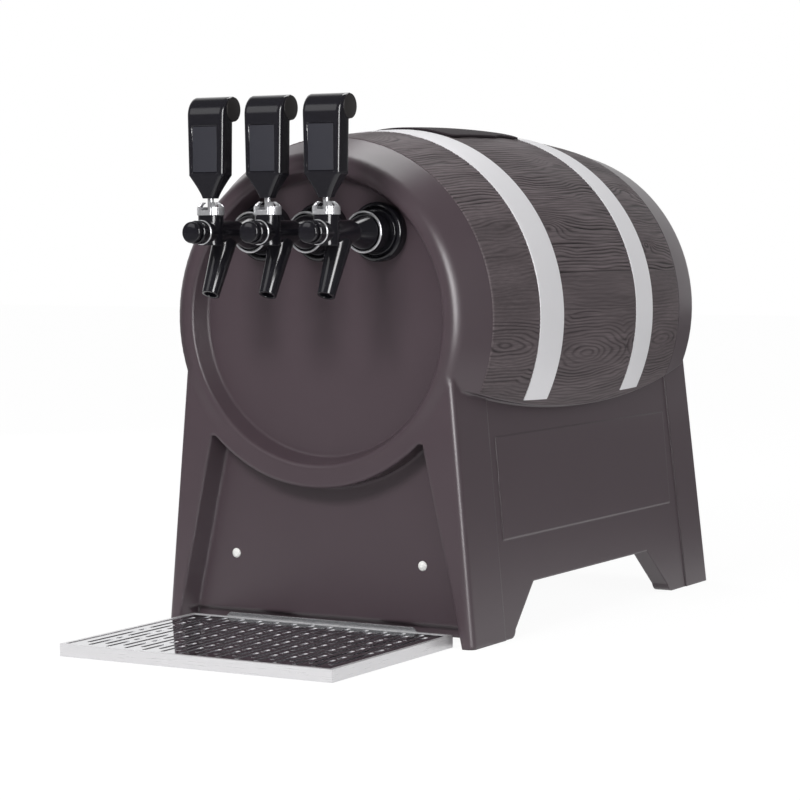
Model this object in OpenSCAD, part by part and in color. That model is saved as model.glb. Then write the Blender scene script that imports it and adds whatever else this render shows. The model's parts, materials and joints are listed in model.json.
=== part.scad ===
// Three-tap counter-top wine dispenser: a barrel-shaped cooler on a flared base, with its drip tray.
// Millimetres, +Z up, front towards -Y. The origin is the bottom centre of the whole object.

/* [Barrel] */
// Height of the barrel's axis above the table
barrel_axis_z = 313; // [309:1:317]
// Radius of the barrel at its fattest point
barrel_mid_r = 190.5; // [186:0.5:196]
// Distance from the front face to the barrel's fattest point
barrel_mid_y = 265; // [255:1:275]
// Radius of the long arc that the barrel's side follows
barrel_arc_r = 2011; // [1900:1:2400]
// Length of the casing at the barrel's axis
barrel_len = 538; // [532:1:546]
// Distance from the front face to the start of the wood grain
grain_start_y = 39; // [34:1:44]
// Slope of the smooth band in front of the grain
rim_slope = 24.5; // [20:0.5:28]
// Rounding of the front rim
rim_round = 10; // [7:0.5:12]
// Rounding of the rear rim
rear_rim_round = 20; // [14:1:24]
// Distance from the front face to the groove behind the grain
rear_groove_y = 472; // [462:1:482]
// Width of that groove
groove_w = 2; // [1:0.5:3]
// Depth of that groove
groove_depth = 1.5; // [0.5:0.5:3]
// Lowest height of the barrel's lower edge on the sides
smile_low_z = 219; // [212:1:226]
// Radius of the arc that the barrel's lower edge follows
smile_r = 1141; // [1000:1:1400]
// Thickness of the casing's wall
wall = 6; // [5:0.5:7]

/* [Base] */
// Width of the base on the table
base_floor_w = 353; // [346:1:360]
// Length of the base on the table
base_floor_len = 564; // [560:1:572]
// Inward lean of the base's sides
side_flare = 5.25; // [4.5:0.05:6]
// Forward lean of the base's rear face
rear_lean = 3.5; // [3:0.1:4]
// Rounding of the base's front corners
leg_round = 7; // [5:1:10]
// Rounding of the base's rear corners
rear_leg_round = 6; // [4:1:10]
// Height of the ledge that carries the chassis
deck_z = 56; // [54:0.5:62]
// Width of that ledge
ledge_w = 14; // [12:1:18]
// Height of the gaps between the feet
notch_h = 50; // [40:1:52]
// Length of the front feet on the table
front_foot_len = 86; // [78:1:94]
// Distance from the front face to the rear feet on the table
rear_foot_y = 463; // [452:1:474]
// Run of the gap's slanted ends
notch_run = 52; // [40:1:60]
// Rounding of the feet's toes
toe_round = 10; // [4:0.5:14]
// Width of the gap between the rear feet on the table
rear_gap_w = 306; // [280:1:310]
// Height of the gap between the rear feet
rear_gap_h = 34; // [20:1:40]
// Depth of the side walls' set-back between the corner posts
post_step = 1.2; // [0.5:0.1:2]
// Distance from the front face to the front posts' edge
front_post_y = 68; // [60:1:74]
// Distance from the front face to the rear posts' edge on the table
rear_post_y = 505; // [496:1:514]
// Rise of the side windows above the set-back side walls
window_rise = 0.9; // [0.5:0.1:2]
// Front end of the side windows
window_y = 81; // [76:1:90]
// Length of the side windows
window_len = 398; // [380:1:404]
// Lower edge of the side windows
window_z = 97; // [88:1:104]
// Height of the side windows
window_h = 101; // [90:1:106]

/* [Front face] */
// Radius of the round recess behind the taps
recess_r = 142.5; // [142:0.5:145]
// Depth of that recess
recess_depth = 20; // [16:0.5:22]
// Narrowing of the recess from its lip to its floor
recess_draft = 5.5; // [4:0.5:6]
// Rounding of the recess's lip
recess_lip = 4; // [2:0.5:5]
// Outer radius of the ring below the recess
ring_outer_r = 166; // [162:0.5:170]
// Depth of the panel between the front legs
panel_depth = 24; // [20:0.5:27]
// Half width between the legs' front edges at the panel's top corners
panel_top_x = 121; // [115:1:126]
// Height cut off those sharp corners
panel_blunt = 5; // [3:0.5:8]
// Half width between the legs' front edges at the table
leg_gap_x = 165; // [160:1:168]
// Lean of the legs' inner walls from their front edges to the panel
leg_draft = 7; // [5:0.5:10]
// Height of the panel's lower edge
panel_edge_z = 17; // [14:0.5:24]
// Height of the skirt's lower edge behind the panel
skirt_z = 6; // [5:0.5:10]
// Step from the panel back to that skirt
skirt_step = 5; // [3:0.5:8]
// Distance of the white plugs from the middle
plug_x = 108; // [100:1:112]
// Height of the white plugs
plug_z = 74; // [64:1:84]
// Radius of the plugs' heads
plug_head_r = 5; // [4:0.25:6]
// Radius of the plugs' pegs
plug_peg_r = 3.5; // [2.5:0.25:3.75]

/* [Hoops] */
// Width of each hoop
hoop_w = 46; // [40:1:48]
// Thickness of the hoops
hoop_t = 1.5; // [1:0.1:2]
// Front edge of the front hoop
front_hoop_y = 122; // [116:1:126]
// Front edge of the rear hoop
rear_hoop_y = 338.5; // [334:0.5:342]
// Angle of the hoops' ends below the barrel's axis
hoop_drop = 26; // [22:0.5:27]

/* [Filling lid] */
// Width of the lid
lid_w = 116; // [108:1:124]
// Length of the lid
lid_len = 160; // [150:1:162]
// Front edge of the lid
lid_y = 173; // [171:1:176]
// Corner rounding of the lid
lid_round = 14; // [10:1:18]
// Height of the lid's curved top above the barrel's skin
lid_lift = 3.6; // [3:0.1:5]
// Middle of the finger scoop in the lid's right edge
scoop_y = 299; // [290:1:302]
// Length of that scoop
scoop_len = 56; // [40:1:58]
// Depth of that scoop
scoop_depth = 5; // [3:0.5:6]
// Width of the lid's rim around the filling opening
lid_rim = 11; // [9:0.5:14]
// Length of the lid's plug in the opening
lid_plug = 8; // [6:0.5:12]
// Thickness of the lid's gasket
gasket_t = 1; // [0.75:0.25:1.5]

/* [Rear panel] */
// Distance of the panel's outer face in front of the barrel's rear end
rear_inset = 5; // [3.5:0.5:10]
// Thickness of the panel
panel_t = 2; // [1.5:0.25:3]
// Radius of the panel's round top
rear_open_r = 146; // [142:0.5:149]
// Height of the panel's lower edge
rear_open_z = 64; // [62:0.5:70]
// Width of the base's frame beside the panel
rear_frame = 24; // [20:1:28]
// Width of the flange behind the panel's edge
rear_flange = 9; // [8:0.5:12]
// Thickness of that flange
rear_flange_t = 5; // [4:0.5:8]
// Height of each cooling slot
louvre_h = 6; // [4:0.5:7]
// Length of each cooling slot
louvre_len = 92; // [80:1:96]
// Pitch of the cooling slots
louvre_pitch = 12; // [10:0.5:13]

/* [Drip tray] */
// Width of the tray
tray_w = 300; // [290:1:304]
// Length of the tray
tray_len = 222; // [210:1:230]
// Height of the tray
tray_h = 12; // [11:0.5:15]
// Reach of the tray in front of the front face
tray_reach = 214; // [204:1:216]
// Thickness of the tray's sheet
tray_t = 1.2; // [0.8:0.1:1.5]
// Width of the tray's folded rim
tray_rim = 4; // [3:0.5:6]
// Thickness of the grate
grate_t = 1.5; // [1:0.1:2]
// Depth of the grate's top below the rim
grate_drop = 0.6; // [0.3:0.1:1.2]
// Width of the grate's slots
slot_w = 4.2; // [3:0.1:5]
// Pitch of the slots across the grate
slot_pitch = 10.3; // [9:0.1:12]
// Length of the long slots
long_slot = 76; // [60:1:78]
// Length of the short slots
short_slot = 13; // [10:0.5:15]
// Metal left between two slots
slot_bridge = 6; // [4:0.5:8]

/* [Taps] */
// Spacing of the taps
tap_pitch = 65; // [62:0.5:66]
// Height of the taps' axes above the barrel's axis
tap_rise = 84.6; // [80:0.1:85.2]
// Radius of the threaded shank through the casing
shank_r = 11; // [9:0.5:12]
// Radius of the shank's bore
shank_bore_r = 5; // [4:0.25:6]
// Radius of the flange on the casing
flange_r = 29; // [26:0.5:29.5]
// Thickness of that flange
flange_t = 12; // [9:0.5:13]
// Radius of the coupling collar
collar_r = 20; // [18:0.5:22]
// Length of the coupling collar
collar_len = 20; // [18:0.5:24]
// Distance from the front face forward to the lever's axis
lever_y = 81; // [79:0.5:83]
// Radius of the tap's cross barrel
cross_r = 11.5; // [10:0.25:12]
// Radius of the tap's upright barrel
upright_r = 12.2; // [11:0.1:12.4]
// Height of the upright barrel above the tap's axis
upright_h = 16.4; // [15:0.2:18]
// Distance from the lever's axis forward to the tap's front end
nose_len = 15; // [14:0.5:17]
// Radius of the spout at its tip
spout_tip_r = 8.5; // [7.5:0.25:9.5]
// Radius of the spout at its root
spout_root_r = 11.8; // [10.5:0.25:12]
// Radius of the spout's bore
spout_bore_r = 6; // [5:0.25:6.5]
// Length of the spout
spout_len = 57.5; // [54:0.5:62]
// Forward lean of the spout
spout_lean = 26; // [22:0.5:28]
// Radius of the crown nut
crown_r = 13.5; // [12.75:0.25:14]
// Height of the crown nut
crown_h = 12.5; // [11:0.5:13.5]
// Number of teeth on the crown nut
crown_teeth = 6; // [4:2:8]
// Radius of the valve piston
piston_r = 5; // [4.5:0.1:5.5]
// Radius of the front gland
gland_r = 11.25; // [10.75:0.25:12]
// Length of the front gland
gland_len = 12; // [11:0.5:14]
// Radius of the push button
button_r = 8.9; // [8:0.1:9.2]
// Travel of the push button
button_travel = 3.5; // [2:0.25:4]
// Radius of the bright rings' wire
ring_wire_r = 1.2; // [0.9:0.1:1.5]

/* [Levers] */
// Height of the lever's pivot above the tap's axis
pivot_h = 11.4; // [11:0.1:12]
// Radius of the lever's ball
ball_r = 6; // [5.5:0.1:6.4]
// Radius of the lever's stem
stem_r = 3; // [2.5:0.1:3.2]
// Height of the handle's lower end above the tap's axis
handle_z = 32.5; // [32.2:0.1:36]
// Height of the handle
handle_h = 97; // [92:0.5:102]
// Width of the handle
handle_w = 40; // [36:0.5:44]
// Depth of the handle
handle_d = 20; // [18:0.5:24]
// Radius of the handle's neck
neck_r = 6.75; // [6.25:0.25:8]
// Height of the handle's tapered lower part
neck_h = 22; // [18:0.5:26]
// Radius of the roll at the handle's top
roll_r = 11.75; // [10:0.25:12.5]
// Reach of the roll behind the handle
roll_back = 11; // [8:0.5:12]
// Corner rounding of the handle
handle_round = 4; // [2:0.5:6]
// Width of the handle's label field
label_w = 29; // [24:0.5:32]
// Height of the handle's label field
label_h = 44.5; // [38:0.5:46]
// Depth of the handle's label field
label_depth = 0.8; // [0.4:0.1:1.2]
// Height of the label field above the neck
label_rise = 2.5; // [2:0.5:6]

/* [Cooling] */
// Width of the insulated tank
tank_w = 224; // [214:1:228]
// Length of the insulated tank
tank_len = 280; // [270:1:290]
// Distance from the front face to the tank
tank_y = 62; // [62:1:70]
// Distance from the barrel's crown down to the tank's cover
tank_crown_gap = 63.5; // [60:0.5:68]
// Height of the tank without its cover
tank_h = 227; // [215:1:229]
// Thickness of the foam
foam_t = 20; // [16:1:24]
// Thickness of the liner
liner_t = 2; // [1.5:0.25:3]
// Thickness of the tank's cover
cover_t = 8; // [6:0.5:9]
// Radius of the product lines
line_r = 4.75; // [4:0.25:5]
// Wall of the product lines
line_wall = 1.2; // [0.8:0.1:1.5]
// Radius of the product coils
coil_r = 22; // [18:0.5:22.5]
// Radius of the compressor
compressor_r = 60; // [52:1:62]
// Height of the compressor
compressor_h = 120; // [100:1:130]
// Radius of the fan
fan_r = 55; // [48:1:58]
// Number of fan blades
fan_blades = 5; // [3:1:6]
// Thickness of the chassis sheet
chassis_t = 2; // [1.5:0.25:3]
// Radius of the small screws
screw_r = 2; // [1.5:0.1:2.2]

/* [Clearances] */
// Gap between a fixed piece and its seat
seat_gap = 0.2; // [0.1:0.05:0.3]
// Radial gap of a running or sliding fit
run_gap = 0.06; // [0.03:0.01:0.1]
// Gap between pieces that move past each other
move_gap = 0.4; // [0.3:0.05:0.6]

/* [Hidden] */
$fn = 64;
arc_fn = 720;
ring_fn = 240;
smile_steps = 30;
tap_side = ["left", "middle", "right"];
tap_pieces = ["shank_flange", "coupling_collar", "tap_body", "crown_nut", "lever_stem",
    "tap_handle", "valve_piston", "button_gland", "front_button"];

// Colours
casing_grey = [0.23, 0.21, 0.21];
hoop_grey = [0.78, 0.78, 0.79];
gloss_black = [0.05, 0.05, 0.055];
bright_steel = [0.80, 0.80, 0.80];
plug_white = [0.94, 0.94, 0.93];
foam_cream = [0.88, 0.84, 0.72];
copper_red = [0.70, 0.42, 0.30];

// Places that several pieces share
front_y = (tray_reach - base_floor_len) / 2;
half_floor_w = base_floor_w / 2;
flare_run = tan(side_flare);
lean_run = tan(rear_lean);
big = 2 * base_floor_len;
grain_start_r = barrel_r(grain_start_y);
rim_flat_r = grain_start_r - (rim_round + (grain_start_y - rim_round) * sin(rim_slope)) / cos(rim_slope);
front_wall_y = recess_depth + wall;
base_wall_y = panel_depth + wall;
panel_out_y = barrel_len - rear_inset;
panel_in_y = panel_out_y - panel_t;
rear_wall_y = panel_in_y - rear_flange_t;
lid_mid_y = lid_y + lid_len / 2;
crown_z = barrel_axis_z + barrel_r(lid_mid_y);
scoop_r = (pow(scoop_len / 2, 2) + pow(scoop_depth, 2)) / (2 * scoop_depth);
fill_w = lid_w - 2 * lid_rim;
fill_len = lid_len - 2 * lid_rim;
tap_z = barrel_axis_z + tap_rise;
flange_y = recess_depth - flange_t;
collar_y = flange_y - collar_len;
foam_top_z = barrel_axis_z + barrel_mid_r - tank_crown_gap - cover_t;
tank_z = foam_top_z - tank_h;
liner_floor_z = tank_z + foam_t + liner_t;
deck_top_z = deck_z + chassis_t;
tank_mid_y = tank_y + tank_len / 2;
fan_z = deck_top_z + fan_r + 12;
louvre_count = 9;
louvre_z = fan_z - (louvre_count - 1) / 2 * louvre_pitch;
screw_head_r = 1.9 * screw_r;
screw_head_h = 1.1 * screw_r;

// Radius of the barrel's outside at a distance behind the front face
function barrel_r(y) = barrel_mid_r - barrel_arc_r + sqrt(pow(barrel_arc_r, 2) - pow(y - barrel_mid_y, 2));

// Half width of the base's outside at a height
function base_x(z) = half_floor_w - z * flare_run;

// Sideways place of a tap
function tap_x(i) = (i - 1) * tap_pitch;

// Moves a piece from the front face's own frame to the part's frame
module from_front() {
    translate([0, front_y, 0])
        children();
}

// Turns an upright solid so that its axis runs towards the rear
module along_y() {
    rotate([-90, 0, 0])
        children();
}

// The frame of the barrel's axis, with profiles drawn as radius and distance from the front face
module about_barrel() {
    translate([0, 0, barrel_axis_z])
        along_y()
            children();
}

// An outline in width and height, extruded from one distance behind the front face to another
module slab_y(y0, y1) {
    translate([0, y1, 0])
        rotate([90, 0, 0])
            linear_extrude(y1 - y0)
                children();
}

// A rectangle with rounded corners, centred
module rounded_rect(w, d, r) {
    square([w - 2 * r, d], center = true);
    square([w, d - 2 * r], center = true);
    for (x = [-1, 1])
        for (y = [-1, 1])
            translate([x * (w / 2 - r), y * (d / 2 - r)])
                circle(r);
}

// The frame of one tap: its axis at the front face, +Z up
module at_tap(i) {
    from_front()
        translate([tap_x(i), 0, tap_z])
            children();
}

// Casing

// The lens between the barrel's axis and its bulging side, drawn in by an inset
module bulge_disc(inset = 0) {
    translate([barrel_mid_r - barrel_arc_r, barrel_mid_y])
        circle(barrel_arc_r - inset, $fn = arc_fn);
}

// Half section of the barrel: flat front, rounded rim, sloping band, bulge and rounded rear rim
module barrel_profile() {
    rim_x = rim_flat_r + rim_round * cos(rim_slope);
    rim_y = rim_round - rim_round * sin(rim_slope);
    polygon([[0, 0], [rim_flat_r, 0], [rim_x, rim_y], [grain_start_r, grain_start_y], [0, grain_start_y]]);
    translate([rim_flat_r, rim_round])
        circle(rim_round);
    arc_x = barrel_mid_r - barrel_arc_r;
    round_y = barrel_len - rear_rim_round;
    round_x = arc_x + sqrt(pow(barrel_arc_r - rear_rim_round, 2) - pow(round_y - barrel_mid_y, 2));
    out = barrel_arc_r / (barrel_arc_r - rear_rim_round);
    tan_x = arc_x + (round_x - arc_x) * out;
    tan_y = barrel_mid_y + (round_y - barrel_mid_y) * out;
    intersection() {
        bulge_disc();
        translate([0, grain_start_y])
            square([2 * barrel_mid_r, tan_y - grain_start_y]);
    }
    polygon([[0, tan_y], [tan_x, tan_y], [round_x, barrel_len], [0, barrel_len]]);
    translate([round_x, round_y])
        circle(rear_rim_round);
}

// The barrel's outside, ending below at the curved edge on its sides
module barrel_solid() {
    intersection() {
        about_barrel()
            difference() {
                rotate_extrude($fn = ring_fn)
                    barrel_profile();
                rotate_extrude($fn = ring_fn)
                    translate([barrel_r(rear_groove_y) - groove_depth, rear_groove_y])
                        square([3 * groove_depth, groove_w]);
            }
        above_smile(0);
    }
}

// Height of the barrel's lower edge at a distance behind the front face
function smile_z(y) = smile_low_z + smile_r - sqrt(pow(smile_r, 2) - pow(y - barrel_mid_y, 2));

// Everything above the barrel's lower edge, and a margin below it, in short flat steps along the edge
module above_smile(margin) {
    step = (barrel_len + 2 * rear_rim_round) / smile_steps;
    edge = [for (k = [0 : smile_steps]) let (y = k * step - rear_rim_round) [y, smile_z(y) - margin]];
    rotate([90, 0, 90])
        linear_extrude(3 * barrel_mid_r, center = true)
            polygon(concat(edge, [[barrel_len + rear_rim_round, big], [-rear_rim_round, big]]));
}

// Plan of a corner of the base: the side wall at x = 0, the end wall at y = 0
module corner_plan(r) {
    difference() {
        translate([-big, 0])
            square([big, big]);
        translate([-r, 0])
            square([r, r]);
    }
    translate([-r, r])
        circle(r);
}

// Everything inside one flared side wall and the front wall, drawn in by insets
module front_corner(side_inset, front_inset, r) {
    translate([half_floor_w - side_inset / cos(side_flare), front_inset, 0])
        rotate([0, -side_flare, 0])
            translate([0, 0, -barrel_axis_z])
                linear_extrude(3 * barrel_axis_z)
                    corner_plan(r);
}

// Everything inside one flared side wall and the leaning rear wall, which is a little askew with the other's
module rear_corner() {
    skew = (half_floor_w + rear_gap_w / 2) * lean_run * sin(side_flare);
    translate([half_floor_w, base_floor_len + skew, 0])
        rotate([rear_lean, -side_flare, 0])
            translate([0, 0, -barrel_axis_z])
                linear_extrude(3 * barrel_axis_z)
                    mirror([0, 1])
                        corner_plan(rear_leg_round);
}

// The flared space between two heights, with insets from the sides and the front
module flared_block(side_inset, front_inset, r, y1, z0, z1) {
    intersection() {
        front_corner(side_inset, front_inset, r);
        mirror([1, 0, 0])
            front_corner(side_inset, front_inset, r);
        translate([-half_floor_w, 0, z0])
            cube([base_floor_w, y1, z1 - z0]);
    }
}

// The base's outside
module base_solid() {
    intersection() {
        flared_block(0, 0, leg_round, base_floor_len, 0, barrel_axis_z);
        rear_corner();
        mirror([1, 0, 0])
            rear_corner();
    }
}

// The round recess behind the taps, with its rounded lip
module front_recess() {
    about_barrel()
        rotate_extrude($fn = ring_fn) {
            polygon([[0, -1], [recess_r, -1], [recess_r, recess_lip], [recess_r - recess_draft, recess_depth],
                [0, recess_depth]]);
            difference() {
                translate([recess_r - 1, -1])
                    square([recess_lip + 1, recess_lip + 1]);
                translate([recess_r + recess_lip, recess_lip])
                    circle(recess_lip);
            }
        }
}

// The panel between the front legs: its floor, and the legs' inner walls that lean outwards below
module leg_panel() {
    corner_z = barrel_axis_z - sqrt(pow(ring_outer_r, 2) - pow(panel_top_x, 2));
    top_z = corner_z - panel_blunt;
    top_x = panel_top_x + (leg_gap_x - panel_top_x) * panel_blunt / (corner_z + 1);
    difference() {
        polyhedron(
            points = [
                for (p = [[0, 0], [leg_draft, panel_depth + 1]])
                    for (q = [[-leg_gap_x + p[0], -1], [leg_gap_x - p[0], -1], [top_x - p[0], top_z],
                            [-top_x + p[0], top_z]])
                        [q[0], p[1] - 1, q[1]]],
            faces = [[3, 2, 1, 0], [4, 5, 6, 7], [1, 5, 4, 0], [2, 6, 5, 1], [3, 7, 6, 2], [0, 4, 7, 3]]);
        slab_y(-2, panel_depth + 1)
            translate([0, barrel_axis_z])
                circle(ring_outer_r);
    }
    low_x = leg_gap_x - leg_draft;
    translate([-low_x, -1, -1])
        cube([2 * low_x, panel_depth + skirt_step + 1, panel_edge_z + 1]);
    translate([-low_x, -1, -1])
        cube([2 * low_x, base_wall_y + ledge_w + 2, skirt_z + 1]);
}

// The set-back walls on one side, around the window that stands up from them
module side_relief() {
    span = rear_post_y - front_post_y;
    difference() {
        translate([half_floor_w, 0, 0])
            rotate([0, -side_flare, 0])
                difference() {
                    translate([-post_step, front_post_y, -1])
                        rotate([90, 0, 90])
                            linear_extrude(2 * post_step)
                                polygon([[0, 0], [span, 0], [span - barrel_axis_z * lean_run, barrel_axis_z],
                                    [0, barrel_axis_z]]);
                    translate([-2 * post_step, window_y, window_z])
                        cube([post_step + window_rise, window_len, window_h]);
                }
        above_smile(1);
    }
}

// What a rounded toe lacks of a sharp one: the toe's corner at the origin, the foot towards -x
module toe_cut() {
    tangent = toe_round * tan(atan2(notch_h, notch_run) / 2);
    difference() {
        polygon([[-tangent, -1], [notch_run, -1], [notch_run, notch_h]]);
        translate([-tangent, toe_round])
            circle(toe_round);
        translate([-tangent, toe_round])
            square([tangent / 2, notch_h]);
    }
}

// The gaps between the feet: one cut right through from side to side, one through the rear wall
module foot_gap() {
    slope = notch_run / notch_h;
    rotate([90, 0, 90])
        linear_extrude(2 * base_floor_w, center = true) {
            polygon([[front_foot_len - slope, -1], [front_foot_len + notch_run, notch_h],
                [rear_foot_y - notch_run, notch_h], [rear_foot_y + slope, -1]]);
            translate([front_foot_len, 0])
                toe_cut();
            translate([rear_foot_y, 0])
                mirror([1, 0])
                    toe_cut();
        }
    slab_y(barrel_mid_y, big)
        polygon([[-rear_gap_w / 2 - 1, -1], [-rear_gap_w / 2 + rear_gap_h / 5, rear_gap_h],
            [rear_gap_w / 2 - rear_gap_h / 5, rear_gap_h], [rear_gap_w / 2 + 1, -1]]);
}

// Outline of the rear opening in width and height, drawn in by an inset
module rear_outline(inset) {
    low_x = base_x(rear_open_z) - rear_frame - inset;
    top_x = base_x(barrel_axis_z) - rear_frame - inset;
    translate([0, barrel_axis_z])
        circle(rear_open_r - inset);
    polygon([[-low_x, rear_open_z + inset], [low_x, rear_open_z + inset], [top_x, barrel_axis_z],
        [-top_x, barrel_axis_z]]);
}

// Inside of the casing
module casing_inside() {
    intersection() {
        about_barrel()
            rotate_extrude($fn = ring_fn) {
                translate([0, front_wall_y])
                    square([recess_r, grain_start_y - front_wall_y]);
                intersection() {
                    bulge_disc(wall);
                    translate([0, grain_start_y])
                        square([barrel_mid_r, rear_wall_y - grain_start_y]);
                }
            }
        above_smile(-wall);
    }
    flared_block(wall, base_wall_y, leg_round / 2, rear_wall_y, deck_z, barrel_axis_z);
    flared_block(wall + ledge_w, base_wall_y + ledge_w, leg_round / 2, rear_wall_y - ledge_w, -1, deck_z + 1);
}

// Places of the screws that hold the rear panel, as width and height
rear_screw_r = rear_open_r - rear_flange / 2;
rear_screw_z = rear_open_z + rear_flange / 2;
rear_screw_places = concat(
    [for (a = [20, 65, 115, 160]) [rear_screw_r * cos(a), barrel_axis_z + rear_screw_r * sin(a)]],
    [for (s = [-1, 1]) [s * 0.6 * base_x(rear_open_z), rear_screw_z]]);

// Places of the screws that hold the chassis to its ledge, as sideways place and distance from the front
ledge_screw_x = base_x(deck_z) - wall - ledge_w / 2;
chassis_screw_places = [
    for (s = [-1, 1])
        for (y = [base_wall_y + 40, rear_wall_y - 40])
            [s * ledge_screw_x, y]];

module casing() {
    color(casing_grey)
        from_front()
            difference() {
                union() {
                    barrel_solid();
                    base_solid();
                }
                casing_inside();
                front_recess();
                leg_panel();
                side_relief();
                mirror([1, 0, 0])
                    side_relief();
                foot_gap();
                slab_y(panel_in_y, big)
                    rear_outline(0);
                slab_y(rear_wall_y - 1, big)
                    rear_outline(rear_flange);
                translate([0, lid_mid_y, barrel_axis_z])
                    linear_extrude(barrel_mid_r)
                        rounded_rect(fill_w, fill_len, lid_round - lid_rim / 2);
                for (i = [0:2])
                    translate([tap_x(i), 0, tap_z])
                        along_y()
                            cylinder(r = shank_r + seat_gap, h = front_wall_y + 1);
                for (s = [-1, 1])
                    translate([s * plug_x, panel_depth - 1, plug_z])
                        along_y()
                            cylinder(r = plug_peg_r + seat_gap, h = wall + 2);
                for (p = rear_screw_places)
                    translate([p[0], rear_wall_y - 1, p[1]])
                        along_y()
                            cylinder(r = screw_r + run_gap, h = rear_flange_t + 2);
                for (p = chassis_screw_places)
                    translate([p[0], p[1], deck_z - 4])
                        cylinder(r = screw_r + run_gap, h = 5);
            }
}

// One hoop: a band on the bulge, from one side over the top to the other
module hoop(y0) {
    about_barrel()
        rotate_extrude(angle = 180 + 2 * hoop_drop, start = 180 - hoop_drop, $fn = ring_fn)
            intersection() {
                difference() {
                    bulge_disc(-seat_gap - hoop_t);
                    bulge_disc(-seat_gap);
                }
                translate([barrel_mid_r / 2, y0])
                    square([barrel_mid_r, hoop_w]);
            }
}

module front_hoop() {
    color(hoop_grey)
        from_front()
            hoop(front_hoop_y);
}

module rear_hoop() {
    color(hoop_grey)
        from_front()
            hoop(rear_hoop_y);
}

// Filling lid

// The barrel's outside grown by a gap, as a tool that shapes what lies on it
module barrel_grown(gap) {
    about_barrel()
        rotate_extrude($fn = ring_fn)
            intersection() {
                bulge_disc(-gap);
                translate([0, grain_start_y])
                    square([2 * barrel_mid_r, rear_groove_y - grain_start_y]);
            }
}

module fill_lid() {
    color(casing_grey)
        from_front() {
            difference() {
                intersection() {
                    translate([0, lid_mid_y, barrel_axis_z])
                        linear_extrude(2 * barrel_mid_r)
                            rounded_rect(lid_w, lid_len, lid_round);
                    barrel_grown(lid_lift);
                }
                barrel_grown(gasket_t + seat_gap + move_gap);
                translate([lid_w / 2 + scoop_r - scoop_depth, scoop_y, barrel_axis_z])
                    cylinder(r = scoop_r, h = 2 * barrel_mid_r);
            }
            intersection() {
                translate([0, lid_mid_y, crown_z - lid_plug - wall])
                    linear_extrude(lid_plug + wall + lid_lift)
                        rounded_rect(fill_w - 4 * move_gap, fill_len - 4 * move_gap, lid_round - lid_rim / 2);
                barrel_grown(lid_lift / 2 + gasket_t);
            }
        }
}

module lid_gasket() {
    gasket_w = fill_w + lid_rim;
    gasket_len = fill_len + lid_rim;
    color(gloss_black)
        from_front()
            difference() {
                translate([0, lid_mid_y, barrel_axis_z])
                    linear_extrude(2 * barrel_mid_r)
                        difference() {
                            rounded_rect(gasket_w, gasket_len, lid_round - lid_rim / 4);
                            rounded_rect(fill_w, fill_len, lid_round - lid_rim / 2);
                        }
                barrel_grown(seat_gap);
                difference() {
                    translate([0, lid_mid_y, barrel_axis_z])
                        cylinder(r = barrel_len, h = barrel_len);
                    barrel_grown(seat_gap + gasket_t);
                }
            }
}

// Rear panel and what it carries

inlet_hole_r = 9;
inlet_nut_t = 5;
inlet_tail = 22;
spindle_r = 3;
knob_x = 92;
knob_z = 248;
knob_r = 18;
mains_x = -92;
mains_z = 240;
mains_w = 30;
mains_h = 56;
rocker_z = 15;
rocker_r = 8;
rocker_w = 18;
rocker_pin_r = 1.5;

module rear_panel() {
    color(casing_grey)
        from_front()
            difference() {
                slab_y(panel_in_y, panel_out_y)
                    rear_outline(move_gap);
                for (x = [-louvre_len / 2 - 6, louvre_len / 2 + 6])
                    for (k = [0 : louvre_count - 1])
                        translate([x, panel_in_y + panel_t / 2, louvre_z + k * louvre_pitch])
                            cube([louvre_len, panel_t + 2, louvre_h], center = true);
                for (i = [0:2])
                    translate([tap_x(i), panel_in_y - 1, tap_z])
                        along_y()
                            cylinder(r = inlet_hole_r + seat_gap, h = panel_t + 2);
                translate([knob_x, panel_in_y - 1, knob_z])
                    along_y()
                        cylinder(r = spindle_r + move_gap, h = panel_t + 2);
                translate([mains_x - mains_w / 2, panel_in_y - 1, mains_z - mains_h / 2])
                    cube([mains_w, panel_t + 2, mains_h]);
                for (p = rear_screw_places)
                    translate([p[0], panel_in_y - 1, p[1]])
                        along_y()
                            cylinder(r = screw_r + run_gap, h = panel_t + 2);
            }
}

// A pan-head screw along its own axis, head up, seated at z = 0
module screw(len) {
    cylinder(r = screw_head_r, h = screw_head_h);
    translate([0, 0, -len])
        cylinder(r = screw_r, h = len);
}

module rear_screws() {
    color(bright_steel)
        from_front()
            for (p = rear_screw_places)
                translate([p[0], panel_out_y, p[1]])
                    along_y()
                        screw(panel_t + rear_flange_t);
}

module product_inlets() {
    color(bright_steel)
        from_front()
            for (i = [0:2])
                translate([tap_x(i), panel_out_y, tap_z])
                    along_y()
                        difference() {
                            union() {
                                cylinder(r = inlet_hole_r + inlet_nut_t, h = inlet_nut_t, $fn = 6);
                                translate([0, 0, inlet_nut_t])
                                    cylinder(r = inlet_hole_r, h = inlet_tail);
                                translate([0, 0, -panel_t - inlet_nut_t])
                                    cylinder(r = inlet_hole_r, h = panel_t + inlet_nut_t);
                            }
                            translate([0, 0, inlet_nut_t + 2])
                                cylinder(r = line_r + run_gap, h = inlet_tail);
                            translate([0, 0, -big])
                                cylinder(r = line_r - line_wall, h = 2 * big);
                        }
}

module thermostat() {
    body_w = 44;
    body_d = 28;
    color(plug_white)
        from_front()
            translate([knob_x, panel_in_y, knob_z]) {
                translate([-body_w / 2, -body_d, -body_w / 2])
                    cube([body_w, body_d, body_w]);
                along_y()
                    cylinder(r = spindle_r, h = panel_t + 12);
            }
}

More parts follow.
